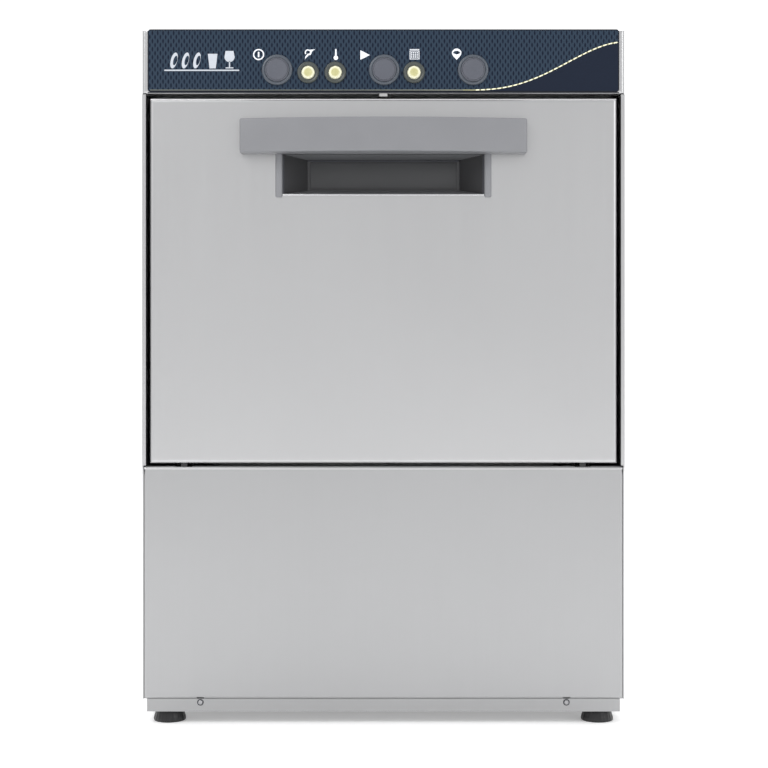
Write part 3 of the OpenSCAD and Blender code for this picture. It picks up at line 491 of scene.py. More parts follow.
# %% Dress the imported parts
WEARS = {
    STEEL_LOWER_SHADED: ["lower_front_panel"],
    STEEL: ["side_panel_left", "side_panel_right", "door_outer_panel", "rear_panel",
            "connection_plate", "fascia_panel"],
    STEEL_PLINTH_SHADED: ["base_pan"],
    STEEL_INNER: ["chamber_wrap", "chamber_back", "chamber_floor", "chamber_frame", "tank",
                  "rack_rails", "door_inner_panel", "tank_filter", "rinse_arm_lower",
                  "rinse_arm_upper", "arm_post_lower", "arm_post_upper"],
    STEEL_WORKS: ["boiler", "boiler_heater", "tank_heater"],
    HINGE_BLACK: ["hinge_brackets", "hinge_arms", "hinge_pins"],
    STEEL_TOP_SHADED: ["top_panel"],
    PLATED: ["panel_screws", "foot_nuts", "door_catch", "door_springs"],
    FILM: ["fascia_overlay"],
    GRIP: ["handle_bar"],
    POCKET: ["handle_pocket"],
    CAP_GREY: ["button_power", "button_start", "button_drain"],
    BEZEL_GREY: ["button_bezels"],
    LAMP_BEZEL: ["lamp_bezels"],
    LENS: ["lamp_lenses"],
    RUBBER: ["door_gasket", "hoses", "mains_gland"],
    FOOT_BLACK: ["foot_front_left", "foot_front_right", "foot_rear_left", "foot_rear_right"],
    ARM_PLASTIC: ["wash_arm", "standpipe", "pump_rotor"],
    CASING: ["pump_volute", "drain_spigot"],
    WHITE_PLASTIC: ["inlet_valve", "rinse_aid_pump", "pressure_switch", "terminal_block",
                    "switch_blocks"],
    BOARD: ["control_board"],
    MOTOR: ["pump_motor"],
    RACK: ["dish_rack"],
}


def wear(node, finish):
    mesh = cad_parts[node].data
    mesh.materials.clear()
    mesh.materials.append(finish)


for finish, nodes in WEARS.items():
    for node in nodes:
        wear(node, finish)
dressed = {node for nodes in WEARS.values() for node in nodes}
print("dressed:", len(dressed), "left out:", sorted(set(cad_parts) - dressed))

# %% [markdown]
# ## Helpers for the finished pieces
# Most small pieces of a machine like this are turned, cut from sheet or moulded with rounded
# edges. Three helpers cover that: `lathe` turns a profile round an axis along Y or Z, `block`
# adds a cuboid with rounded edges, and `finish_piece` gives the mesh its shading, finish and
# body. Each piece keeps its place in its mesh, so its object stays at the origin.
# Profiles and corners are in millimetres, and become metres where the vertices are made.

# %% Mesh helpers
FINE = 0.3 * MM


def block(mesh, low, high, radius=FINE, steps=2):
    """Adds a cuboid from low to high, in millimetres, with edges rounded to radius."""
    made = bmesh.ops.create_cube(mesh, size=1.0)["verts"]
    for vert in made:
        for axis in range(3):
            share = vert.co[axis] + 0.5
            vert.co[axis] = (low[axis] + (high[axis] - low[axis]) * share) * MM
    edges = list({edge for vert in made for edge in vert.link_edges})
    if radius > 0:
        bmesh.ops.bevel(mesh, geom=edges, offset=radius, segments=steps, profile=0.5,
                        affect="EDGES", clamp_overlap=True)


def lathe(mesh, profile, centre, axis="Y", steps=64, wave=None):
    """Turns (radius, along) points, in millimetres, round an axis through centre (mm).

    wave(angle, radius, along) may give another radius, for flats and ribs."""
    rings = []
    for radius, along in profile:
        ring = []
        for index in range(1 if radius == 0 else steps):
            angle = math.tau * index / steps
            reach = wave(angle, radius, along) if wave and radius else radius
            u, v = reach * math.cos(angle), reach * math.sin(angle)
            if axis == "Y":
                spot = (centre[0] + u, along, centre[1] + v)
            else:
                spot = (centre[0] + u, centre[1] + v, along)
            ring.append(mesh.verts.new([value * MM for value in spot]))
        rings.append(ring)
    for near, far in zip(rings, rings[1:]):
        for index in range(steps):
            a, b = near[index % len(near)], near[(index + 1) % len(near)]
            c, d = far[(index + 1) % len(far)], far[index % len(far)]
            corners = [v for n, v in enumerate((a, b, c, d)) if v not in (a, b, c, d)[:n]]
            mesh.faces.new(corners)


def finish_piece(name, mesh, finish, body, replaces=(), angle=35):
    """Closes, shades and paints a bmesh, and makes it ride on its body."""
    bmesh.ops.remove_doubles(mesh, verts=mesh.verts, dist=1e-7)
    bmesh.ops.recalc_face_normals(mesh, faces=mesh.faces)
    data = bpy.data.meshes.new(name)
    mesh.to_mesh(data)
    mesh.free()
    data.shade_smooth()
    data.set_sharp_from_angle(angle=math.radians(angle))
    data.materials.append(finish)
    piece = bpy.data.objects.new(name, data)
    bpy.context.scene.collection.objects.link(piece)
    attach(piece, body)
    if replaces:
        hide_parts(*replaces)
    return piece


def box_mm(node):
    """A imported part's low and high corners in millimetres."""
    low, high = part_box(node)
    return low / MM, high / MM


print("door box:", [tuple(map(round, corner)) for corner in box_mm("door_outer_panel")])

# %% [markdown]
# ## Grip bar
# The grip is a moulded bar that bows outwards, so fingers find it at the middle. It is made
# by sweeping a rounded rectangle along the bar: its back stays flat on the door, and its front
# follows the bow. The last stations shrink a little, which rounds the two ends.

# %% Sweep the bar
def rounded_section(low, high, radius, steps=4):
    """Points of a rounded rectangle, anticlockwise, as (y, z) in millimetres."""
    points = []
    corners = ((high[0], high[1], 0), (low[0], high[1], 90), (low[0], low[1], 180),
               (high[0], low[1], 270))
    for y, z, start in corners:
        cy = y - math.copysign(radius, y - (low[0] + high[0]) / 2)
        cz = z - math.copysign(radius, z - (low[1] + high[1]) / 2)
        for index in range(steps + 1):
            angle = math.radians(start + 90 * index / steps)
            points.append((cy + radius * math.cos(angle), cz + radius * math.sin(angle)))
    return points


def loft(mesh, sections):
    """Joins equal rings of points into a closed tube and caps both ends."""
    rings = [[mesh.verts.new([c * MM for c in spot]) for spot in ring] for ring in sections]
    for near, far in zip(rings, rings[1:]):
        for index in range(len(near)):
            after = (index + 1) % len(near)
            mesh.faces.new((near[index], near[after], far[after], far[index]))
    mesh.faces.new(list(reversed(rings[0])))
    mesh.faces.new(rings[-1])


def grip_bar():
    low, high = box_mm("handle_bar")
    half, bow = high.x, 9.0
    edge = 1.3
    mesh = bmesh.new()
    places = [-half + edge * (1 - math.cos(math.radians(a))) for a in (0, 30, 60, 90)]
    places += [-half + edge + (2 * half - 2 * edge) * n / 28 for n in range(1, 28)]
    places += [-x for x in reversed(places[:4])]
    sections = []
    for x in places:
        near_end = max(0.0, abs(x) - (half - edge)) / edge
        inset = edge * (1 - math.sqrt(max(0.0, 1 - near_end ** 2))) * 0.8
        front = low.y + bow * (x / half) ** 2
        ring = rounded_section((front + inset, low.z + inset), (high.y, high.z - inset), 1.1)
        sections.append([(x, y, z) for y, z in ring])
    loft(mesh, sections)
    return finish_piece("grip_bar", mesh, GRIP, "door", ["handle_bar"], angle=50)


print("grip bar faces:", len(grip_bar().data.polygons))

# %% [markdown]
# ## Pull pocket
# Below the bar a moulded pocket goes into the door for the fingers. It is a funnel: a mouth
# between two half-round posts, walls that lean in, and a flat back with a raised panel. The
# walls are a closed shell, an inner skin and an outer one joined round the mouth, so the
# pocket also looks right from inside the door. A steel lip crosses the foot of the mouth; its
# steel is lighter than the door's, a painted highlight. The side walls and the back are darker
# than the rest: painted shade in the recess. Thin dark strips are painted shade where the
# walls meet the posts and where the ceiling meets the back.

# %% Mould the pocket
MOUTH_X, MOUTH_Z = 83.6, (439.5, 472.4)
POCKET_BACK_X, POCKET_BACK_Z = 63.9, (444.6, 470.4)
RAISED_X = 61.5
POST_RADIUS = 3.0
SIDE_WALL_TILT = 0.3


def rectangle(x, z, y):
    return [(-x, y, z[0]), (x, y, z[0]), (x, y, z[1]), (-x, y, z[1])]


def shell(mesh, rings):
    """Rings of four corners joined in turn, and the last ring capped, as one closed shell."""
    made = [[mesh.verts.new([c * MM for c in spot]) for spot in ring] for ring in rings]
    for near, far in zip(made, made[1:]):
        for index in range(4):
            after = (index + 1) % 4
            mesh.faces.new((near[index], near[after], far[after], far[index]))
    mesh.faces.new(made[0])
    mesh.faces.new(made[-1])


def pull_pocket():
    low, high = box_mm("handle_pocket")
    face = box_mm("door_outer_panel")[0].y
    back_y = high.y - 1.2
    mouth_foot, mouth_top = MOUTH_Z
    back_foot, back_top = POCKET_BACK_Z
    outer_mouth = (MOUTH_X + 0.6, (mouth_foot - 0.6, mouth_top))
    mesh = bmesh.new()
    shell(mesh, [rectangle(POCKET_BACK_X + 1, (back_foot - 1, back_top + 1), high.y),
                 rectangle(*outer_mouth, face + 1.2),
                 rectangle(*outer_mouth, face - 0.2),
                 rectangle(MOUTH_X, MOUTH_Z, face - 0.2),
                 rectangle(MOUTH_X, MOUTH_Z, face + 0.8),
                 rectangle(POCKET_BACK_X, POCKET_BACK_Z, back_y)])
    piece = finish_piece("pull_pocket", mesh, POCKET, "door", ["handle_pocket"])
    # Walls that face sideways get the darker material: painted shade in the recess.
    piece.data.materials.append(POCKET_SIDE_SHADE)
    for polygon in piece.data.polygons:
        polygon.material_index = int(abs(polygon.normal.x) > SIDE_WALL_TILT)
    # The back panel is darker than the walls: painted shade deep in the pocket.
    back = bmesh.new()
    block(back, (-POCKET_BACK_X + 0.2, back_y - 0.35, back_foot + 0.2),
          (POCKET_BACK_X - 0.2, back_y + 0.4, back_top - 0.2), 0.2 * MM, 1)
    block(back, (-RAISED_X, back_y - 1.1, back_foot + 1.4), (RAISED_X, back_y, back_top - 2.0),
          0.6 * MM, 2)
    finish_piece("pocket_back_panel", back, POCKET_BACK_SHADE, "door")
    # Dark strips of painted shade where the ceiling meets the back and where the walls meet the
    # posts.
    shade_strips = bmesh.new()
    block(shade_strips, (-POCKET_BACK_X, back_y - 1.6, back_top - 1.5),
          (POCKET_BACK_X, back_y, back_top - 0.2), 0.1 * MM, 1)
    for side in (-1, 1):
        inner, outer = sorted((side * (MOUTH_X - 1.3), side * (MOUTH_X + 0.2)))
        block(shade_strips, (inner, face + 0.9, mouth_foot + 0.2), (outer, face + 1.9, mouth_top - 0.2),
              0.1 * MM, 1)
    finish_piece("pocket_shadow_gaps", shade_strips, SHADE_BLACK, "door")
    posts = bmesh.new()
    for side in (-1, 1):
        half_round_post(posts, side * (MOUTH_X + POST_RADIUS), low.z, face)
    finish_piece("pocket_posts", posts, GRIP, "door", angle=60)
    # The lip across the foot of the mouth, in the lighter steel of a painted highlight.
    lip = bmesh.new()
    block(lip, (-MOUTH_X, face - 1.0, low.z + 1.3), (MOUTH_X, face + 0.2, mouth_foot),
          0.4 * MM, 3)
    finish_piece("pocket_lip", lip, LIP_HIGHLIGHT, "door")
    return piece


def half_round_post(mesh, x, foot, face):
    """A half-round upright whose flat back is on the door's face; its foot is rounded off."""
    depth = 2.25
    rings = []
    for z, share in ((foot, 0.80), (foot + 0.5, 0.95), (foot + 1.2, 1.0), (MOUTH_Z[1], 1.0)):
        ring = []
        for index in range(13):
            angle = math.pi * index / 12
            ring.append((x + POST_RADIUS * share * math.cos(angle),
                         face + 0.3 - depth * share * math.sin(angle), z))
        rings.append(ring)
    loft(mesh, rings)


# Steel lighter than the door's for the lip: painted highlight.
LIP_HIGHLIGHT = sheet_steel("bright_lip", (0.575, 0.58, 0.585), 0.25, relief=0.02)
print("pocket faces:", len(pull_pocket().data.polygons))

# %% [markdown]
# ## Buttons, their rings and the pilot lamps
# A push button here is a flat cap in a bezel ring. The cap has a shallow groove near its rim,
# which reads as a thin dark line from the front, and its face is very slightly hollow. Each of
# these is one turned profile. The lamp's lens is turned too, but its crown has eight flats.

# %% Turn the buttons and lamps
BUTTONS = {"button_power": "power_cap", "button_start": "start_cap", "button_drain": "drain_cap"}


def middle(node):
    low, high = box_mm(node)
    return (low.x + high.x) / 2, (low.z + high.z) / 2


def button_cap(node, name):
    low, high = box_mm(node)
    face = low.y
    profile = [(0, face + 0.35), (4.0, face + 0.30), (7.4, face + 0.12), (8.3, face + 0.02),
               (8.55, face + 0.10), (8.75, face + 0.55), (8.95, face + 0.60), (9.15, face + 0.35),
               (9.45, face + 0.30), (9.85, face + 0.55), (10.0, face + 1.0),
               (10.0, face + 13.7), (9.7, face + 14.0), (3.0, face + 14.0),
               (3.0, high.y - 0.4), (2.6, high.y), (0, high.y)]
    mesh = bmesh.new()
    lathe(mesh, profile, middle(node), steps=72)
    return finish_piece(name, mesh, CAP_GREY, node, [node], angle=40)


def ring_set(name, node, centres, profile, finish, steps=72, wave=None):
    """One turned ring at each centre, all in one piece that rides on the machine."""
    mesh = bmesh.new()
    for centre in centres:
        lathe(mesh, profile, centre, steps=steps, wave=wave)
    return finish_piece(name, mesh, finish, "machine", [node], angle=40)


button_spots = [middle(node) for node in BUTTONS]
for node, name in BUTTONS.items():
    button_cap(node, name)
bezel_low, bezel_high = box_mm("button_bezels")
face = bezel_low.y
ring_set("button_rings", "button_bezels", button_spots,
         [(10.05, face + 0.55), (10.45, face + 0.12), (11.0, face), (11.8, face + 0.10),
          (12.35, face + 0.5), (12.7, face + 1.2), (12.7, face + 2.0), (11.4, face + 2.0),
          (11.4, bezel_high.y), (10.05, bezel_high.y), (10.05, face + 0.55)],
         BEZEL_GREY)
lamp_low, lamp_high = box_mm("lamp_bezels")
lens_low, lens_high = box_mm("lamp_lenses")
LAMP_X = [-62.4, -39.9, 25.4]
lamp_z = (lens_low.z + lens_high.z) / 2
lamp_spots = [(x, lamp_z) for x in LAMP_X]
face = lamp_low.y
ring_set("lamp_rings", "lamp_bezels", lamp_spots,
         [(5.65, face + 0.9), (5.9, face + 0.35), (6.5, face + 0.30), (7.4, face + 0.26),
          (7.7, face + 0.02), (8.3, face), (8.75, face + 0.35), (8.95, face + 0.9),
          (8.95, face + 1.6), (6.6, face + 1.6), (6.6, lamp_high.y), (5.65, lamp_high.y),
          (5.65, face + 0.9)], LAMP_BEZEL)


def eight_flats(angle, radius, along):
    """The crown of the lens is cut to eight flats; its barrel stays round."""
    if along > lens_low.y + 1.2:
        return radius
    eighth = math.tau / 8
    turn = (angle % eighth) - eighth / 2
    return radius * math.cos(eighth / 2) / math.cos(turn) * 1.02


def mark_rim(piece, spots, inner, outer):
    """Writes the rim attribute: 0 within inner mm of the nearest spot, 1 past outer mm."""
    rim = piece.data.attributes.new("rim", "FLOAT", "POINT")
    for vertex, value in zip(piece.data.vertices, rim.data):
        reach = min(math.hypot(vertex.co.x / MM - x, vertex.co.z / MM - z) for x, z in spots)
        value.value = min(1.0, max(0.0, (reach - inner) / (outer - inner)))


face = lens_low.y
lenses = ring_set("lamp_lens_set", "lamp_lenses", lamp_spots,
                  [(0, face + 0.02), (1.4, face), (2.8, face), (3.6, face + 0.03),
                   (4.6, face + 0.22), (5.3, face + 0.9), (5.6, face + 1.6),
                   (5.6, lens_high.y), (0, lens_high.y)],
                  LENS, wave=eight_flats)
mark_rim(lenses, lamp_spots, 2.9, 4.4)
print("buttons at", [(round(x, 1), round(z, 1)) for x, z in button_spots])

# %% [markdown]
# ## Printed signs
# The signs are ink, so each is a flat shape that stands 0.05 mm proud of the film. A helper
# turns any outline into such a plate; outlines are arcs and a few straight corners. The set
# names what each control does with a picture: power, supply, heat, start, rack and drain.

# %% Ink plates for the signs
INK_BACK = film_low.y / MM + 0.02
INK_FACE = film_low.y / MM - 0.05


def ink_plate(mesh, outline):
    """A thin plate with the given (x, z) outline in millimetres."""
    front = [mesh.verts.new((x * MM, INK_FACE * MM, z * MM)) for x, z in outline]
    back = [mesh.verts.new((x * MM, INK_BACK * MM, z * MM)) for x, z in outline]
    mesh.faces.new(front)
    mesh.faces.new(list(reversed(back)))
    for index in range(len(outline)):
        after = (index + 1) % len(outline)
        mesh.faces.new((front[index], back[index], back[after], front[after]))


def arc(cx, cz, radius, start, stop, steps=24, squeeze=1.0):
    """Points on an arc, with angles in degrees; squeeze flattens it in z."""
    turns = [math.radians(start + (stop - start) * n / steps) for n in range(steps + 1)]
    return [(cx + radius * math.cos(t), cz + squeeze * radius * math.sin(t)) for t in turns]


def ink_band(mesh, spine, width):
    """A stroke of even width along a list of (x, z) points."""
    left, right = [], []
    for index, (x, z) in enumerate(spine):
        before = spine[max(0, index - 1)]
        after = spine[min(len(spine) - 1, index + 1)]
        dx, dz = after[0] - before[0], after[1] - before[1]
        size = math.hypot(dx, dz) or 1.0
        nx, nz = -dz / size * width / 2, dx / size * width / 2
        left.append((x + nx, z + nz))
        right.append((x - nx, z - nz))
    ink_plate(mesh, left + right[::-1])


def ink_bar(mesh, x, z):
    """A straight bar from a pair of x values and a pair of z values."""
    ink_plate(mesh, [(x[0], z[0]), (x[1], z[0]), (x[1], z[1]), (x[0], z[1])])


def power_sign(mesh, x, z):
    ink_band(mesh, arc(x, z, 4.1, 0, 180), 1.05)
    ink_band(mesh, arc(x, z, 4.1, 180, 360), 1.05)
    ink_bar(mesh, (x - 0.6, x + 0.6), (z - 2.2, z + 2.2))


def supply_sign(mesh, x, z):
    ink_plate(mesh, [(x - 3.4, z - 4.0), (x - 0.2, z - 0.6), (x + 1.4, z - 0.4),
                     (x + 2.6, z + 2.6), (x + 5.0, z + 4.3), (x + 0.2, z + 3.9),
                     (x - 0.4, z + 2.9), (x + 0.9, z + 2.6), (x + 0.4, z + 0.8),
                     (x - 1.2, z + 0.6), (x - 3.0, z - 1.6)])
    ink_band(mesh, arc(x - 1.0, z + 1.6, 2.1, 60, 215, 12), 1.0)


def heat_sign(mesh, x, z):
    bulb = arc(x, z - 2.9, 1.9, 112, 428, 28)
    ink_plate(mesh, bulb + [(x + 0.72, z + 1.0)] + arc(x, z + 4.0, 0.55, 0, 180, 8)
              + [(x - 0.72, z + 1.0)])


def start_sign(mesh, x, z):
    ink_plate(mesh, [(x - 3.9, z - 4.0), (x + 4.0, z), (x - 3.9, z + 4.0)])


def rack_sign(mesh, x, z):
    for level in (-4.0, 2.7, 3.9):
        ink_bar(mesh, (x - 4.0, x + 4.0), (z + level, z + level + 0.6))
    for place in (-4.0, 3.4):
        ink_bar(mesh, (x + place, x + place + 0.6), (z - 3.4, z + 2.7))
    for row in range(3):
        for column in range(4):
            left, foot = x - 2.9 + 1.55 * column, z - 2.6 + 1.75 * row
            ink_bar(mesh, (left, left + 1.0), (foot, foot + 1.1))


def drain_sign(mesh, x, z):
    crown = arc(x, z + 0.6, 4.0, 0, 180, 24)
    ink_plate(mesh, [(x - 2.9, z + 0.6)] + arc(x, z + 0.9, 2.9, 180, 0, 16, 0.62)
              + [(x + 2.9, z + 0.6)] + crown)
    ink_plate(mesh, [(x - 4.0, z + 0.7), (x - 3.1, z - 1.4), (x, z - 4.8), (x + 3.1, z - 1.4),
                     (x + 4.0, z + 0.7), (x + 2.9, z + 0.7), (x, z - 0.4), (x - 2.9, z + 0.7)])


def dish_sign(mesh, left, foot, height):
    """Three leaning plates, a tumbler and a stemmed glass on a shelf."""
    ink_bar(mesh, (left, left + 62), (foot, foot + 1.1))
    reach = (height - 3.4) / 2
    for index in range(3):
        cx, cz = left + 8 + 9.5 * index, foot + 2.1 + reach
        ring = arc(0, 0, reach, 0, 360, 36)
        lean = [(cx + 0.42 * u + 0.22 * v, cz + v) for u, v in ring]
        well = [(cx + 1.0 + 0.24 * u + 0.14 * v, cz + 0.6 * v) for u, v in ring]
        half = len(lean) // 2
        ink_plate(mesh, lean[:half + 1] + well[:half + 1][::-1])
        ink_plate(mesh, lean[half:] + well[half:][::-1])
    tumbler = left + 40
    top = foot + height
    ink_plate(mesh, [(tumbler - 2.6, foot + 2.1), (tumbler + 2.6, foot + 2.1),
                     (tumbler + 4.0, top - 2.4), (tumbler - 4.0, top - 2.4)])
    stem = left + 54
    ink_bar(mesh, (stem - 3.2, stem + 3.2), (foot + 2.1, foot + 3.0))
    ink_bar(mesh, (stem - 0.5, stem + 0.5), (foot + 3.0, foot + 8.0))
    ink_plate(mesh, arc(stem, foot + 11.6, 4.2, 180, 360, 20) + [(stem + 3.3, top),
                                                                (stem - 3.3, top)])


SIGN_PLACES = ((power_sign, -103.4, 555.0), (supply_sign, -61.6, 555.1),
               (heat_sign, -39.4, 555.2), (start_sign, -15.2, 554.6),
               (rack_sign, 25.8, 555.0), (drain_sign, 60.7, 555.4))
DISH_LEFT, DISH_FOOT, DISH_HEIGHT = -181.5, 541.4, 16.6
ink = bmesh.new()
for draw_sign, sign_x, sign_z in SIGN_PLACES:
    draw_sign(ink, sign_x, sign_z)
finish_piece("control_signs", ink, INK_WHITE, "machine")
ink = bmesh.new()
dish_sign(ink, DISH_LEFT, DISH_FOOT, DISH_HEIGHT)
finish_piece("dish_sign", ink, INK_SILVER, "machine")
print("sign plates are", round(INK_BACK - INK_FACE, 2), "mm thick")

# %% [markdown]
# ## The raised sweep line
# A thin line follows the sweep. It starts dull and fine on the left and grows wider and
# brighter to the right. It is one ribbon whose width is a rule of x, and short bright dashes
# of painted highlight ride on it at even steps; those repeat, so Geometry Nodes place them
# along the same curve.

# %% Ribbon along the sweep
LINE_FACE = INK_FACE - 0.03
BRIGHT_FROM, DASHES_FROM = 66, 78
DASH_PITCH = 4.4
half_film = film_high.x / MM


def line_width(x):
    """Width of the line in millimetres, from fine at the left to bold at the right."""
    share = min(1.0, max(0.0, (x + 20.0) / 130.0))
    return 0.34 + 0.56 * share


def sweep_points(first, last, count):
    stations = [first + (last - first) * n / count for n in range(count + 1)]
    return [(x, sweep_height(x * MM) / MM) for x in stations]


def sweep_ribbon(name, first, last, finish):
    mesh = bmesh.new()
    rows = []
    for x, z in sweep_points(first, last, 120):
        half = line_width(x) / 2
        rows.append([(x, INK_BACK, z - half), (x, LINE_FACE, z - half), (x, LINE_FACE, z + half),
                     (x, INK_BACK, z + half)])
    loft(mesh, rows)
    return finish_piece(name, mesh, finish, "machine")


INK_DULL = moulded("ink_dull_yellow", (0.25, 0.26, 0.20), 0.45, relief=0.02, drift=0.05)
sweep_ribbon("sweep_line_dull", -half_film + 2, BRIGHT_FROM, INK_DULL)
sweep_ribbon("sweep_line_bright", BRIGHT_FROM, half_film - 1.2, INK_YELLOW)
print("line is", line_width(-190), "to", line_width(190), "mm wide")

# %% [markdown]
# ## Repeats with Geometry Nodes
# Screws, dashes, nozzles, pegs and spring coils all repeat one small shape by a rule. For
# those a Geometry Nodes tree does the placing. Three trees are enough: one puts a shape on
# every point of a mesh and turns it to face the way the point's `aim` attribute says, one
# spaces a shape evenly along a line, and one winds a wire into a coil. Each ends in Realize
# Instances and Set Material, and the result is turned into a plain mesh before it is used.

# %% Geometry tree helpers
def open_tree(name, inputs):
    tree = bpy.data.node_groups.new(name, "GeometryNodeTree")
    tree.interface.new_socket("Geometry", in_out="INPUT", socket_type="NodeSocketGeometry")
    for label, (kind, value) in inputs.items():
        socket = tree.interface.new_socket(label, in_out="INPUT", socket_type=kind)
        if value is not None:
            socket.default_value = value
    tree.interface.new_socket("Geometry", in_out="OUTPUT", socket_type="NodeSocketGeometry")
    return tree, tree.nodes.new("NodeGroupInput"), tree.nodes.new("NodeGroupOutput")


def close_tree(tree, start, end, geometry):
    """Ends a tree in Realize Instances and Set Material."""
    real = tree.nodes.new("GeometryNodeRealizeInstances")
    paint = tree.nodes.new("GeometryNodeSetMaterial")
    tree.links.new(geometry, real.inputs["Geometry"])
    tree.links.new(real.outputs["Geometry"], paint.inputs["Geometry"])
    tree.links.new(start.outputs["Finish"], paint.inputs["Material"])
    tree.links.new(paint.outputs["Geometry"], end.inputs["Geometry"])


def shape_info(tree, start):
    info = tree.nodes.new("GeometryNodeObjectInfo")
    info.transform_space = "ORIGINAL"
    tree.links.new(start.outputs["Shape"], info.inputs["Object"])
    return info.outputs["Geometry"]


def tree_on_points():
    """A copy of Shape on every vertex, its +Z turned to the vertex's aim."""
    tree, start, end = open_tree("shape_on_points", {
        "Shape": ("NodeSocketObject", None), "Size": ("NodeSocketFloat", 1.0),
        "Finish": ("NodeSocketMaterial", None)})
    aim = tree.nodes.new("GeometryNodeInputNamedAttribute")
    aim.data_type = "FLOAT_VECTOR"
    aim.inputs["Name"].default_value = "aim"
    turn = tree.nodes.new("FunctionNodeAlignRotationToVector")
    turn.axis = "Z"
    tree.links.new(aim.outputs["Attribute"], turn.inputs["Vector"])
    place = tree.nodes.new("GeometryNodeInstanceOnPoints")
    tree.links.new(start.outputs["Geometry"], place.inputs["Points"])
    tree.links.new(shape_info(tree, start), place.inputs["Instance"])
    tree.links.new(turn.outputs["Rotation"], place.inputs["Rotation"])
    tree.links.new(start.outputs["Size"], place.inputs["Scale"])
    close_tree(tree, start, end, place.outputs["Instances"])
    return tree


def tree_along_line():
    """Copies of Shape at an even Spacing along a line of edges, its +Z along the line."""
    tree, start, end = open_tree("shape_along_line", {
        "Shape": ("NodeSocketObject", None), "Spacing": ("NodeSocketFloat", 0.004),
        "Finish": ("NodeSocketMaterial", None)})
    curve = tree.nodes.new("GeometryNodeMeshToCurve")
    spaced = tree.nodes.new("GeometryNodeResampleCurve")
    spaced.mode = "LENGTH"
    along = tree.nodes.new("GeometryNodeInputTangent")
    turn = tree.nodes.new("FunctionNodeAlignRotationToVector")
    turn.axis = "Z"
    place = tree.nodes.new("GeometryNodeInstanceOnPoints")
    tree.links.new(start.outputs["Geometry"], curve.inputs["Mesh"])
    tree.links.new(curve.outputs["Curve"], spaced.inputs["Curve"])
    tree.links.new(start.outputs["Spacing"], spaced.inputs["Length"])
    tree.links.new(spaced.outputs["Curve"], place.inputs["Points"])
    tree.links.new(along.outputs["Tangent"], turn.inputs["Vector"])
    tree.links.new(turn.outputs["Rotation"], place.inputs["Rotation"])
    tree.links.new(shape_info(tree, start), place.inputs["Instance"])
    close_tree(tree, start, end, place.outputs["Instances"])
    return tree


def tree_coil():
    """A wire of radius Wire wound Turns times at Radius, rising by Length along +Z."""
    tree, start, end = open_tree("wound_coil", {
        "Turns": ("NodeSocketFloat", 30.0), "Radius": ("NodeSocketFloat", 0.004),
        "Length": ("NodeSocketFloat", 0.1), "Wire": ("NodeSocketFloat", 0.0005),
        "Finish": ("NodeSocketMaterial", None)})
    spiral = tree.nodes.new("GeometryNodeCurveSpiral")
    spiral.inputs["Resolution"].default_value = 20
    for label in ("Start Radius", "End Radius"):
        tree.links.new(start.outputs["Radius"], spiral.inputs[label])
    tree.links.new(start.outputs["Turns"], spiral.inputs["Rotations"])
    tree.links.new(start.outputs["Length"], spiral.inputs["Height"])
    section = tree.nodes.new("GeometryNodeCurvePrimitiveCircle")
    section.inputs["Resolution"].default_value = 8
    tree.links.new(start.outputs["Wire"], section.inputs["Radius"])
    sweep = tree.nodes.new("GeometryNodeCurveToMesh")
    sweep.inputs["Fill Caps"].default_value = True
    tree.links.new(spiral.outputs["Curve"], sweep.inputs["Curve"])
    tree.links.new(section.outputs["Curve"], sweep.inputs["Profile Curve"])
    close_tree(tree, start, end, sweep.outputs["Mesh"])
    return tree


def grow(tree, base, **values):
    """Evaluates a tree on a base mesh and gives back the plain mesh that it makes."""
    seed = bpy.data.objects.new("seed", base)
    bpy.context.scene.collection.objects.link(seed)
    rule = seed.modifiers.new("rule", "NODES")
    rule.node_group = tree
    for item in tree.interface.items_tree:
        label = item.name.replace(" ", "_")
        if item.in_out == "INPUT" and label in values:
            rule[item.identifier] = values[label]
    bpy.context.view_layer.update()
    grown = bpy.data.meshes.new_from_object(seed.evaluated_get(
        bpy.context.evaluated_depsgraph_get()))
    bpy.data.objects.remove(seed)
    return grown


def shape_object(mesh, finish):
    """A loose object, not linked to the scene, that a tree copies."""
    bmesh.ops.remove_doubles(mesh, verts=mesh.verts, dist=1e-7)
    bmesh.ops.recalc_face_normals(mesh, faces=mesh.faces)
    data = bpy.data.meshes.new("shape")
    mesh.to_mesh(data)
    mesh.free()
    data.materials.append(finish)
    return bpy.data.objects.new("shape", data)


def aimed_points(spots):
    """A mesh of loose points from (place in mm, direction) pairs."""
    data = bpy.data.meshes.new("points")
    data.from_pydata([[c * MM for c in place] for place, _ in spots], [], [])
    aim = data.attributes.new("aim", "FLOAT_VECTOR", "POINT")
    for index, (_, direction) in enumerate(spots):
        aim.data[index].vector = direction
    return data


def settle(name, data, finish, body, replaces=(), extra=None, angle=35):
    """Joins a grown mesh, and any extra bmesh, into one finished piece."""
    mesh = extra or bmesh.new()
    mesh.from_mesh(data)
    return finish_piece(name, mesh, finish, body, replaces, angle)


ON_POINTS, ALONG_LINE, COIL = tree_on_points(), tree_along_line(), tree_coil()
print("geometry trees:", ON_POINTS.name, ALONG_LINE.name, COIL.name)

# %% [markdown]
# ## Dashes on the sweep
# The right half of the line carries short bright dashes, painted highlights like light on a
# twisted cord. One dash is a small rounded plate, and the line's own rule gives the path it is
# repeated on.

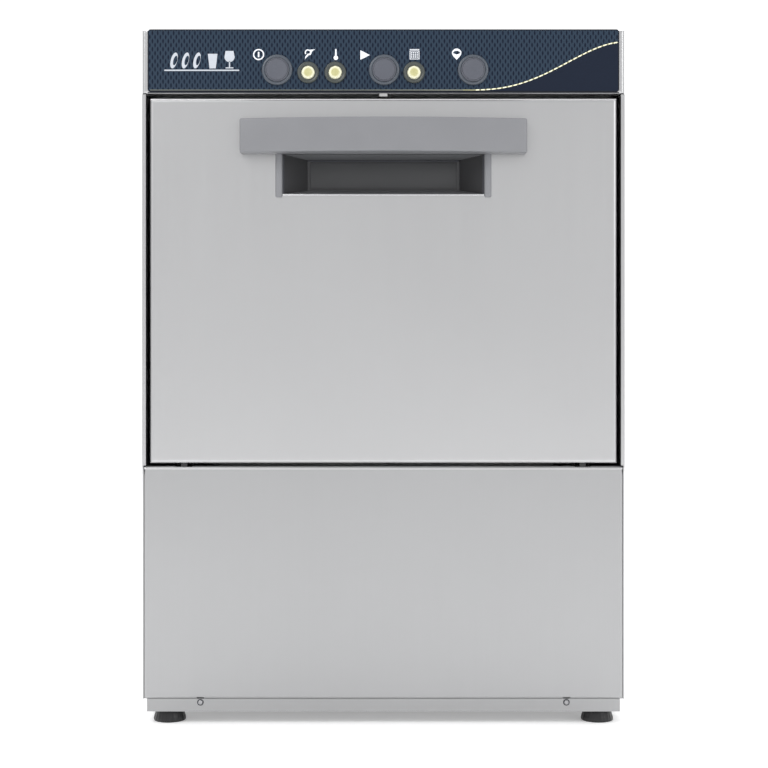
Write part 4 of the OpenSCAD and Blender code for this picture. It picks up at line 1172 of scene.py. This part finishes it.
# %% Dashes
dash = bmesh.new()
block(dash, (-0.5, -0.07, -1.45), (0.5, 0.07, 1.45), 0.06 * MM, 1)
dash_shape = shape_object(dash, DASH_HIGHLIGHT)
path = bpy.data.meshes.new("path")
path_points = sweep_points(DASHES_FROM, half_film - 3, 90)
path.from_pydata([(x * MM, (LINE_FACE - 0.02) * MM, z * MM) for x, z in path_points],
                 [(n, n + 1) for n in range(len(path_points) - 1)], [])
dashes = grow(ALONG_LINE, path, Shape=dash_shape, Spacing=DASH_PITCH * MM, Finish=DASH_HIGHLIGHT)
settle("sweep_dashes", dashes, DASH_HIGHLIGHT, "machine")
print("dash faces:", len(dashes.polygons))

# %% [markdown]
# ## Folded edges
# The top of the lower panel is folded back over a round former. It catches the light as a
# bright line under the door, so it gets a bead of its own: a quarter round along the whole
# width, in near-white steel that is a painted highlight. The door's top edge has a finer bead
# in the same painted highlight. Below the film a thin dark strip of painted shade lies along
# the foot of the fascia, where its own fold turns away.

# %% Beads along the folds
LOWER_FOLD_RADIUS = 2.9
DOOR_FOLD_RADIUS = 1.5


def quarter_bead(mesh, x, y, z, radius):
    """A quarter round from the front face (y) over to the top (z), between two x values."""
    rows = []
    for place in x:
        ring = []
        for index in range(9):
            angle = math.radians(90 * index / 8)
            ring.append((place, y + radius - radius * math.cos(angle),
                         z - (radius - radius * math.sin(angle))))
        ring.append((place, y + radius, z - radius))
        rows.append(ring)
    loft(mesh, rows)


lower_low, lower_high = box_mm("lower_front_panel")
bead = bmesh.new()
quarter_bead(bead, (lower_low.x + 0.6, lower_high.x - 0.6), lower_low.y - 0.08,
             lower_high.z + 0.08, LOWER_FOLD_RADIUS)
finish_piece("lower_panel_fold", bead, FOLD_HIGHLIGHT, "machine")
outer_low, outer_high = box_mm("door_outer_panel")
bead = bmesh.new()
quarter_bead(bead, (outer_low.x + 1.0, outer_high.x - 1.0), outer_low.y - 0.05,
             outer_high.z + 0.05, DOOR_FOLD_RADIUS)
finish_piece("door_top_fold", bead, FOLD_HIGHLIGHT, "door")
fascia_low = box_mm("fascia_panel")[0]
# A near-black strip under the film: painted shade along the fascia's foot.
shadow = bmesh.new()
block(shadow, (-half_film, fascia_low.y - 0.12, fascia_low.z + 0.7),
      (half_film, fascia_low.y + 0.3, film_low.z / MM), 0.1 * MM, 1)
finish_piece("fascia_lower_shadow_line", shadow, SHADE_BLACK, "machine")
print("folds at z", round(lower_high.z, 1), "and", round(outer_high.z, 1))

# %% [markdown]
# ## Screws
# Pan-head screws hold the back and the plinth. The head is turned from a profile with a
# domed crown, and the six-lobed recess is a smaller cup set into it. A dark ring lies under
# each of the two heads on the plinth: a washer whose near black is painted shade.

# %% Screws on the back and the plinth
SCREW_ROWS = (50, 220, 390, 555)
REAR_SCREW_X, REAR_SCREW_Y = 191, 242.0
PLINTH_SCREW_X, PLINTH_SCREW_Y, PLINTH_SCREW_Z = 152, -222.4, 17.6


def screw_head(radius, height):
    mesh = bmesh.new()
    lathe(mesh, [(0, height * 0.55), (radius * 0.38, height * 0.55), (radius * 0.42, height),
                 (radius * 0.7, height * 0.95), (radius * 0.92, height * 0.68),
                 (radius, height * 0.25), (radius, -0.6), (0, -0.6)], (0, 0), axis="Z", steps=24,
          wave=lambda angle, r, z: r * (1 + 0.12 * math.cos(6 * angle))
          if r < radius * 0.45 else r)
    return shape_object(mesh, PLATED)


head = screw_head(3.6, 1.7)
spots = [((side * REAR_SCREW_X, REAR_SCREW_Y, z), (0, 1, 0))
         for side in (-1, 1) for z in SCREW_ROWS]
rear_screws = grow(ON_POINTS, aimed_points(spots), Shape=head, Size=1.0, Finish=PLATED)
head = screw_head(1.9, 1.1)
spots = [((side * PLINTH_SCREW_X, PLINTH_SCREW_Y, PLINTH_SCREW_Z), (0, -1, 0))
         for side in (-1, 1)]
plinth_screws = grow(ON_POINTS, aimed_points(spots), Shape=head, Size=1.0, Finish=PLATED)
both = bmesh.new()
both.from_mesh(rear_screws)
settle("panel_screw_heads", plinth_screws, SCREW_STEEL, "machine", ["panel_screws"],
       both)
# Each washer is near black for the shade round its screw head: painted shade.
washers = bmesh.new()
for side in (-1, 1):
    lathe(washers, [(1.9, -222.8), (2.1, -222.95), (2.6, -222.9), (2.75, -222.3), (1.9, -222.3),
                    (1.9, -222.8)], (side * PLINTH_SCREW_X, PLINTH_SCREW_Z), steps=32)
finish_piece("plinth_screw_washers", washers, SHADE_BLACK, "machine")
print("screws:", 2 * len(SCREW_ROWS) + 2)

# %% [markdown]
# ## Levelling feet
# Each foot is a black nylon cup on a threaded stud. Its skirt flares towards the floor and
# has grip ribs that a hand can turn. The thread on the stud above it is a row of close rings,
# made by a radius that rises and falls.

# %% Turn the feet
def foot_piece(node, name):
    low, high = box_mm(node)
    centre = ((low.x + high.x) / 2, (low.y + high.y) / 2)
    reach = (high.x - low.x) / 2
    skirt = [(0, 0), (reach - 1.4, 0), (reach - 0.4, 0.35), (reach, 1.3), (reach, 2.8),
             (reach - 0.5, 4.4), (reach - 1.1, 6.2), (reach - 1.5, 8.4), (reach - 2.0, 9.2),
             (reach - 2.6, 9.6), (5.2, 9.7), (4.8, 10.2)]
    thread = [(4.8 if n % 2 else 4.2, 10.4 + 0.75 * n) for n in range(44)]
    mesh = bmesh.new()
    lathe(mesh, skirt + thread + [(4.2, high.z), (0, high.z)], centre, axis="Z", steps=96,
          wave=lambda angle, r, z: r - 0.22 * (1 + math.cos(24 * angle))
          if 1.0 < z < 7.5 and r > 6 else r)
    return finish_piece(name, mesh, FOOT_BLACK, node, [node], angle=50)


for corner in ("front_left", "front_right", "rear_left", "rear_right"):
    foot_piece("foot_" + corner, "level_foot_" + corner)
print("feet done")

# %% [markdown]
# ## Counterbalance springs
# Two long springs pull on the door's levers, so the door doesn't drop. Each is a close coil
# with a straight lead to the cabinet and another to the lever. The coil tree winds it
# upright, and one matrix lays it between its two leads.

# %% Wind the springs
def wire(mesh, points, radius, sides=8):
    """A round wire through points in millimetres, as one closed tube."""
    rings = []
    for index, spot in enumerate(points):
        ahead = Vector(points[min(index + 1, len(points) - 1)])
        behind = Vector(points[max(index - 1, 0)])
        way = (ahead - behind).normalized()
        across = way.cross(Vector((1, 0, 0)))
        if across.length < 0.1:
            across = way.cross(Vector((0, 0, 1)))
        across.normalize()
        other = way.cross(across)
        rings.append([tuple(Vector(spot) + radius * (math.cos(math.tau * n / sides) * across
                                                    + math.sin(math.tau * n / sides) * other))
                      for n in range(sides)])
    loft(mesh, rings)


HINGE_X = 165.5
SPRING_FOOT = Vector((0, -205, 45))
SPRING_TIP = Vector((0, -219, 182))
springs = bmesh.new()
way = (SPRING_TIP - SPRING_FOOT).normalized()
run = (SPRING_TIP - SPRING_FOOT).length
coil_run = run - 32
coil = grow(COIL, bpy.data.meshes.new("empty"), Turns=62.0, Radius=3.75 * MM,
            Length=coil_run * MM, Wire=0.5 * MM, Finish=PLATED)
for side in (-1, 1):
    shift = Vector((side * HINGE_X, 0, 0))
    start_at = SPRING_FOOT + shift + way * 12
    stand = Matrix.Translation(start_at * MM) @ way.to_track_quat("Z", "Y").to_matrix().to_4x4()
    placed = coil.copy()
    placed.transform(stand)
    springs.from_mesh(placed)
    foot_end, tip_end = SPRING_FOOT + shift, SPRING_TIP + shift
    wire(springs, [tuple(foot_end + way * t) for t in (0.5, 6, 12.4)], 0.5)
    wire(springs, [tuple(tip_end - way * t) for t in (20.4, 10, 0.5)], 0.5)
bmesh.ops.recalc_face_normals(springs, faces=springs.faces)
spring_data = bpy.data.meshes.new("counterbalance_springs")
springs.to_mesh(spring_data)
springs.free()
spring_data.shade_smooth()
spring_data.materials.clear()
spring_data.materials.append(PLATED)
spring_piece = bpy.data.objects.new("counterbalance_springs", spring_data)
bpy.context.scene.collection.objects.link(spring_piece)
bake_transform(spring_piece)
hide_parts("door_springs")
print("spring faces:", len(spring_data.polygons))

# %% [markdown]
# ## Door seal
# The seal is an extruded rubber bead, mitred at the corners, that lies in a frame round the
# inside of the door. Its section has a soft hollow-looking bulb with two side lips. The
# section is carried round the rectangle, and at each corner it is set along the diagonal.

# %% Extrude the seal
def door_seal():
    low, high = box_mm("door_gasket")
    depth, width = high.y - low.y, 5.5
    section = [(0.0, 0.0), (0.0, depth * 0.35), (0.5, depth * 0.55), (1.2, depth * 0.5),
               (1.7, depth * 0.75), (2.3, depth * 0.96), (2.75, depth), (3.2, depth * 0.96),
               (3.8, depth * 0.75), (4.3, depth * 0.5), (5.0, depth * 0.55),
               (width, depth * 0.35), (width, 0.0)]
    mesh = bmesh.new()
    rows = []
    for sx, sz in ((-1, -1), (1, -1), (1, 1), (-1, 1)):
        corner_x = high.x if sx > 0 else low.x
        corner_z = high.z if sz > 0 else low.z
        rows.append([mesh.verts.new(((corner_x - sx * inward) * MM, (low.y + rise) * MM,
                                     (corner_z - sz * inward) * MM)) for inward, rise in section])
    for index, near in enumerate(rows):
        far = rows[(index + 1) % 4]
        for step in range(len(section)):
            after = (step + 1) % len(section)
            mesh.faces.new((near[step], near[after], far[after], far[step]))
    return finish_piece("door_seal", mesh, RUBBER, "door", ["door_gasket"])


print("seal faces:", len(door_seal().data.polygons))

# %% [markdown]
# ## Dish rack
# The rack is a moulded basket: a floor grid, four windowed sides with a rolled rim, and rows
# of pegs that hold plates on edge. Bars and sides are rounded blocks. The pegs are one
# tapered pin, put on the crossings of the floor by the points tree.

# %% Build the rack
RACK_RAILS = (((0, 3.0), -0.4, 7), ((0.2, 2.8), 41, 49), ((0, 3.0), 83, 91))


def rack_piece():
    low, high = box_mm("dish_rack")
    cells, bar = 14, 3.0
    pitch = (high.x - low.x - bar) / cells
    floor_top = low.z + 5.0
    mesh = bmesh.new()
    for index in range(cells + 1):
        along = low.x + index * pitch
        block(mesh, (along, low.y, low.z), (along + bar, high.y, floor_top), 0.5 * MM, 1)
        across = low.y + index * pitch
        block(mesh, (low.x, across, low.z + 0.2), (high.x, across + bar, floor_top - 0.2),
              0.5 * MM, 1)
    for side in range(4):
        rack_side(mesh, side, low, high, floor_top, pitch)
    peg = bmesh.new()
    lathe(peg, [(0, 52), (0.8, 51.6), (1.25, 50.4), (2.3, 2.0), (3.1, 0.2), (3.1, -1.0), (0, -1.0)],
          (0, 0), axis="Z", steps=10)
    spots = [((low.x + (1 + column) * pitch + bar / 2, low.y + (1 + 2 * row) * pitch + bar / 2,
               floor_top), (0, 0, 1)) for column in range(1, cells - 2) for row in range(7)
             if column not in (6, 7)]
    pegs = grow(ON_POINTS, aimed_points(spots), Shape=shape_object(peg, RACK), Size=1.0,
                Finish=RACK)
    return settle("plate_rack", pegs, RACK, "dish_rack", ["dish_rack"], mesh)


def rack_side(mesh, side, low, high, floor_top, pitch):
    """One side: rails at the foot, middle and rim, joined by rounded uprights."""
    def across(u, v, z):
        """Turns (along, inward, up) into a corner of side number `side`."""
        spots = ((u, low.y + v), (high.x - v, u - low.x + low.y),
                 (high.x + low.x - u, high.y - v), (low.x + v, high.y - (u - low.x)))
        return (*spots[side], z)

    def bar_block(u, v, z, radius):
        a, b = across(u[0], v[0], z[0]), across(u[1], v[1], z[1])
        block(mesh, [min(p, q) for p, q in zip(a, b)], [max(p, q) for p, q in zip(a, b)],
              radius * MM, 2)

    wide = (low.x, high.x)
    for inward, rail_foot, rail_top in RACK_RAILS:
        bar_block(wide, inward, (floor_top + rail_foot, floor_top + rail_top), 0.8)
    bar_block(wide, (0, 4.2), (high.z - 4.2, high.z), 1.6)
    for index in range(8):
        middle_u = low.x + 2.6 + index * 2 * pitch
        left = max(low.x, middle_u - 9)
        right = min(high.x, middle_u + 9.4)
        bar_block((left, right), (0.15, 2.85), (floor_top, high.z - 1), 1.0)


rack = rack_piece()
print("rack faces:", len(rack.data.polygons))

# %% [markdown]
# ## Spray arms
# The wash arm is a hollow plastic blade, thick at the hub and thin at its tips, with fan
# slots along its top. It is lofted from rounded sections that follow a simple taper. The
# rinse arms are steel tubes with a turned hub and a row of jets, which the points tree puts
# on. Every arm turns on its post, so each is built round the post's axis.

# %% Wash arm
AXIS = (0.0, -12.0)


def wash_arm():
    low, high = box_mm("wash_arm")
    reach, hub, neck = high.x, 22.0, 8.05
    mesh = bmesh.new()
    for side in (-1, 1):
        sections = []
        for index in range(25):
            along = 15 + (reach - 15.5) * index / 24
            share = (along - 15) / (reach - 15)
            tip = math.sqrt(max(0.0, 1 - max(0.0, (along - reach + 12) / 12) ** 2))
            half = (16.5 - 5.0 * share) * max(tip, 0.12)
            crown = high.z - 0.4 - 1.8 * share - 1.5 * (1 - tip)
            foot = low.z + 1.0 + 1.0 * share + 1.5 * (1 - tip)
            ring = rounded_section((-half, foot), (half, crown), min(2.6, half * 0.6), 4)
            sections.append([(side * along, AXIS[1] + side * y, z) for y, z in ring])
        loft(mesh, sections)
    lathe(mesh, [(neck, low.z), (hub - 0.8, low.z), (hub, low.z + 0.8), (hub, low.z + 5.5),
                 (hub - 3.5, high.z - 0.8), (14.0, high.z), (neck + 0.6, high.z),
                 (neck, high.z - 0.5), (neck, low.z)], AXIS, axis="Z", steps=64)
    slot = bmesh.new()
    block(slot, (-1.0, -6.5, -0.6), (1.0, 6.5, 0.55), 0.3 * MM, 1)
    block(slot, (-2.0, -7.6, -1.0), (2.0, 7.6, 0.25), 0.4 * MM, 1)
    spots = [((side * (45 + 28 * n), AXIS[1], high.z - 1.15 - 1.8 * (30 + 28 * n) / (reach - 15)),
              (0.1 * side, 0, 1)) for side in (-1, 1) for n in range(4)]
    slots = grow(ON_POINTS, aimed_points(spots), Shape=shape_object(slot, ARM_PLASTIC), Size=1.0,
                 Finish=ARM_PLASTIC)
    return settle("wash_arm_blade", slots, ARM_PLASTIC, "wash_arm", ["wash_arm"],
                  mesh, angle=45)


print("wash arm faces:", len(wash_arm().data.polygons))

# %% Rinse arms
def rinse_arm(node, name, upward):
    low, high = box_mm(node)
    mid = (low.z + high.z) / 2
    reach = high.y - AXIS[1]
    mesh = bmesh.new()
    for side in (-1, 1):
        path = [(AXIS[0], AXIS[1] + side * (9 + (reach - 12) * n / 12), mid) for n in range(13)]
        wire(mesh, path + [(AXIS[0], AXIS[1] + side * (reach - 1.2), mid)], 3.6, 20)
        wire(mesh, [(AXIS[0], AXIS[1] + side * (reach - 2.4), mid),
                    (AXIS[0], AXIS[1] + side * (reach - 0.1), mid)], 2.9, 20)
    lathe(mesh, [(8.05, low.z), (13.0, low.z), (14.0, low.z + 1.0), (14.0, high.z - 1.0),
                 (13.0, high.z), (8.05, high.z), (8.05, low.z)], AXIS, axis="Z", steps=56)
    jet = bmesh.new()
    lathe(jet, [(0, 3.2), (0.7, 3.2), (0.9, 3.9), (1.7, 3.9), (2.4, 3.3), (2.4, 1.0), (0, 1.0)],
          (0, 0), axis="Z", steps=18)
    spots = [((AXIS[0], AXIS[1] + side * (40 + 35 * n), mid), (0, 0, upward))
             for side in (-1, 1) for n in range(4)]
    jets = grow(ON_POINTS, aimed_points(spots), Shape=shape_object(jet, STEEL_INNER), Size=1.0,
                Finish=STEEL_INNER)
    return settle(name, jets, STEEL_INNER, node, [node], mesh)


rinse_arm("rinse_arm_lower", "rinse_arm_lower_tube", 1)
rinse_arm("rinse_arm_upper", "rinse_arm_upper_tube", -1)
print("arms turn about", AXIS)

# %% [markdown]
# ## Inner door panel
# The inside of the door is one pressed sheet: a flat border that the seal sits on, a soft
# step, and a raised field that stiffens it. It is lofted through rounded rectangles, first
# across its back, then over its edge and across its face, so it is one closed skin.

# %% Press the inner panel
def rounded_ring(x, z, y, radius, steps=8):
    """A rounded rectangle in the plane of the door, as (x, y, z) points."""
    return [(u, y, w) for u, w in rounded_section((x[0], z[0]), (x[1], z[1]), radius, steps)]


def inner_door_panel():
    low, high = box_mm("door_inner_panel")
    gauge, step = 0.9, 7.0
    field_x, field_z = (-166, 166), (252, 494)

    def ring(grow_by, y, radius):
        return rounded_ring((field_x[0] - grow_by, field_x[1] + grow_by),
                            (field_z[0] - grow_by, field_z[1] + grow_by), y, radius)

    def border(inset, y):
        return rounded_ring((low.x + inset, high.x - inset), (low.z + inset, high.z - inset),
                            y, 2.0)

    skin_y, crown_y = low.y + 1.0, high.y
    back = [ring(-3.0, crown_y - gauge, 9), ring(0.8, crown_y - gauge - 0.5, 12),
            ring(step - 2, skin_y - gauge + 0.5, 17), ring(step, skin_y - gauge, 19)]
    front = [ring(step + 0.6, skin_y, 20), ring(step - 1.0, skin_y + 0.15, 18),
             ring(step - 2.4, skin_y + 0.9, 17), ring(1.8, crown_y - 0.9, 13),
             ring(0.4, crown_y - 0.15, 12), ring(-1.2, crown_y, 11)]
    mesh = bmesh.new()
    loft(mesh, back + [border(0, skin_y - gauge), border(0, skin_y)] + front)
    return finish_piece("inner_door_skin", mesh, STEEL_INNER, "door",
                        ["door_inner_panel"], angle=50)


print("inner door faces:", len(inner_door_panel().data.polygons))
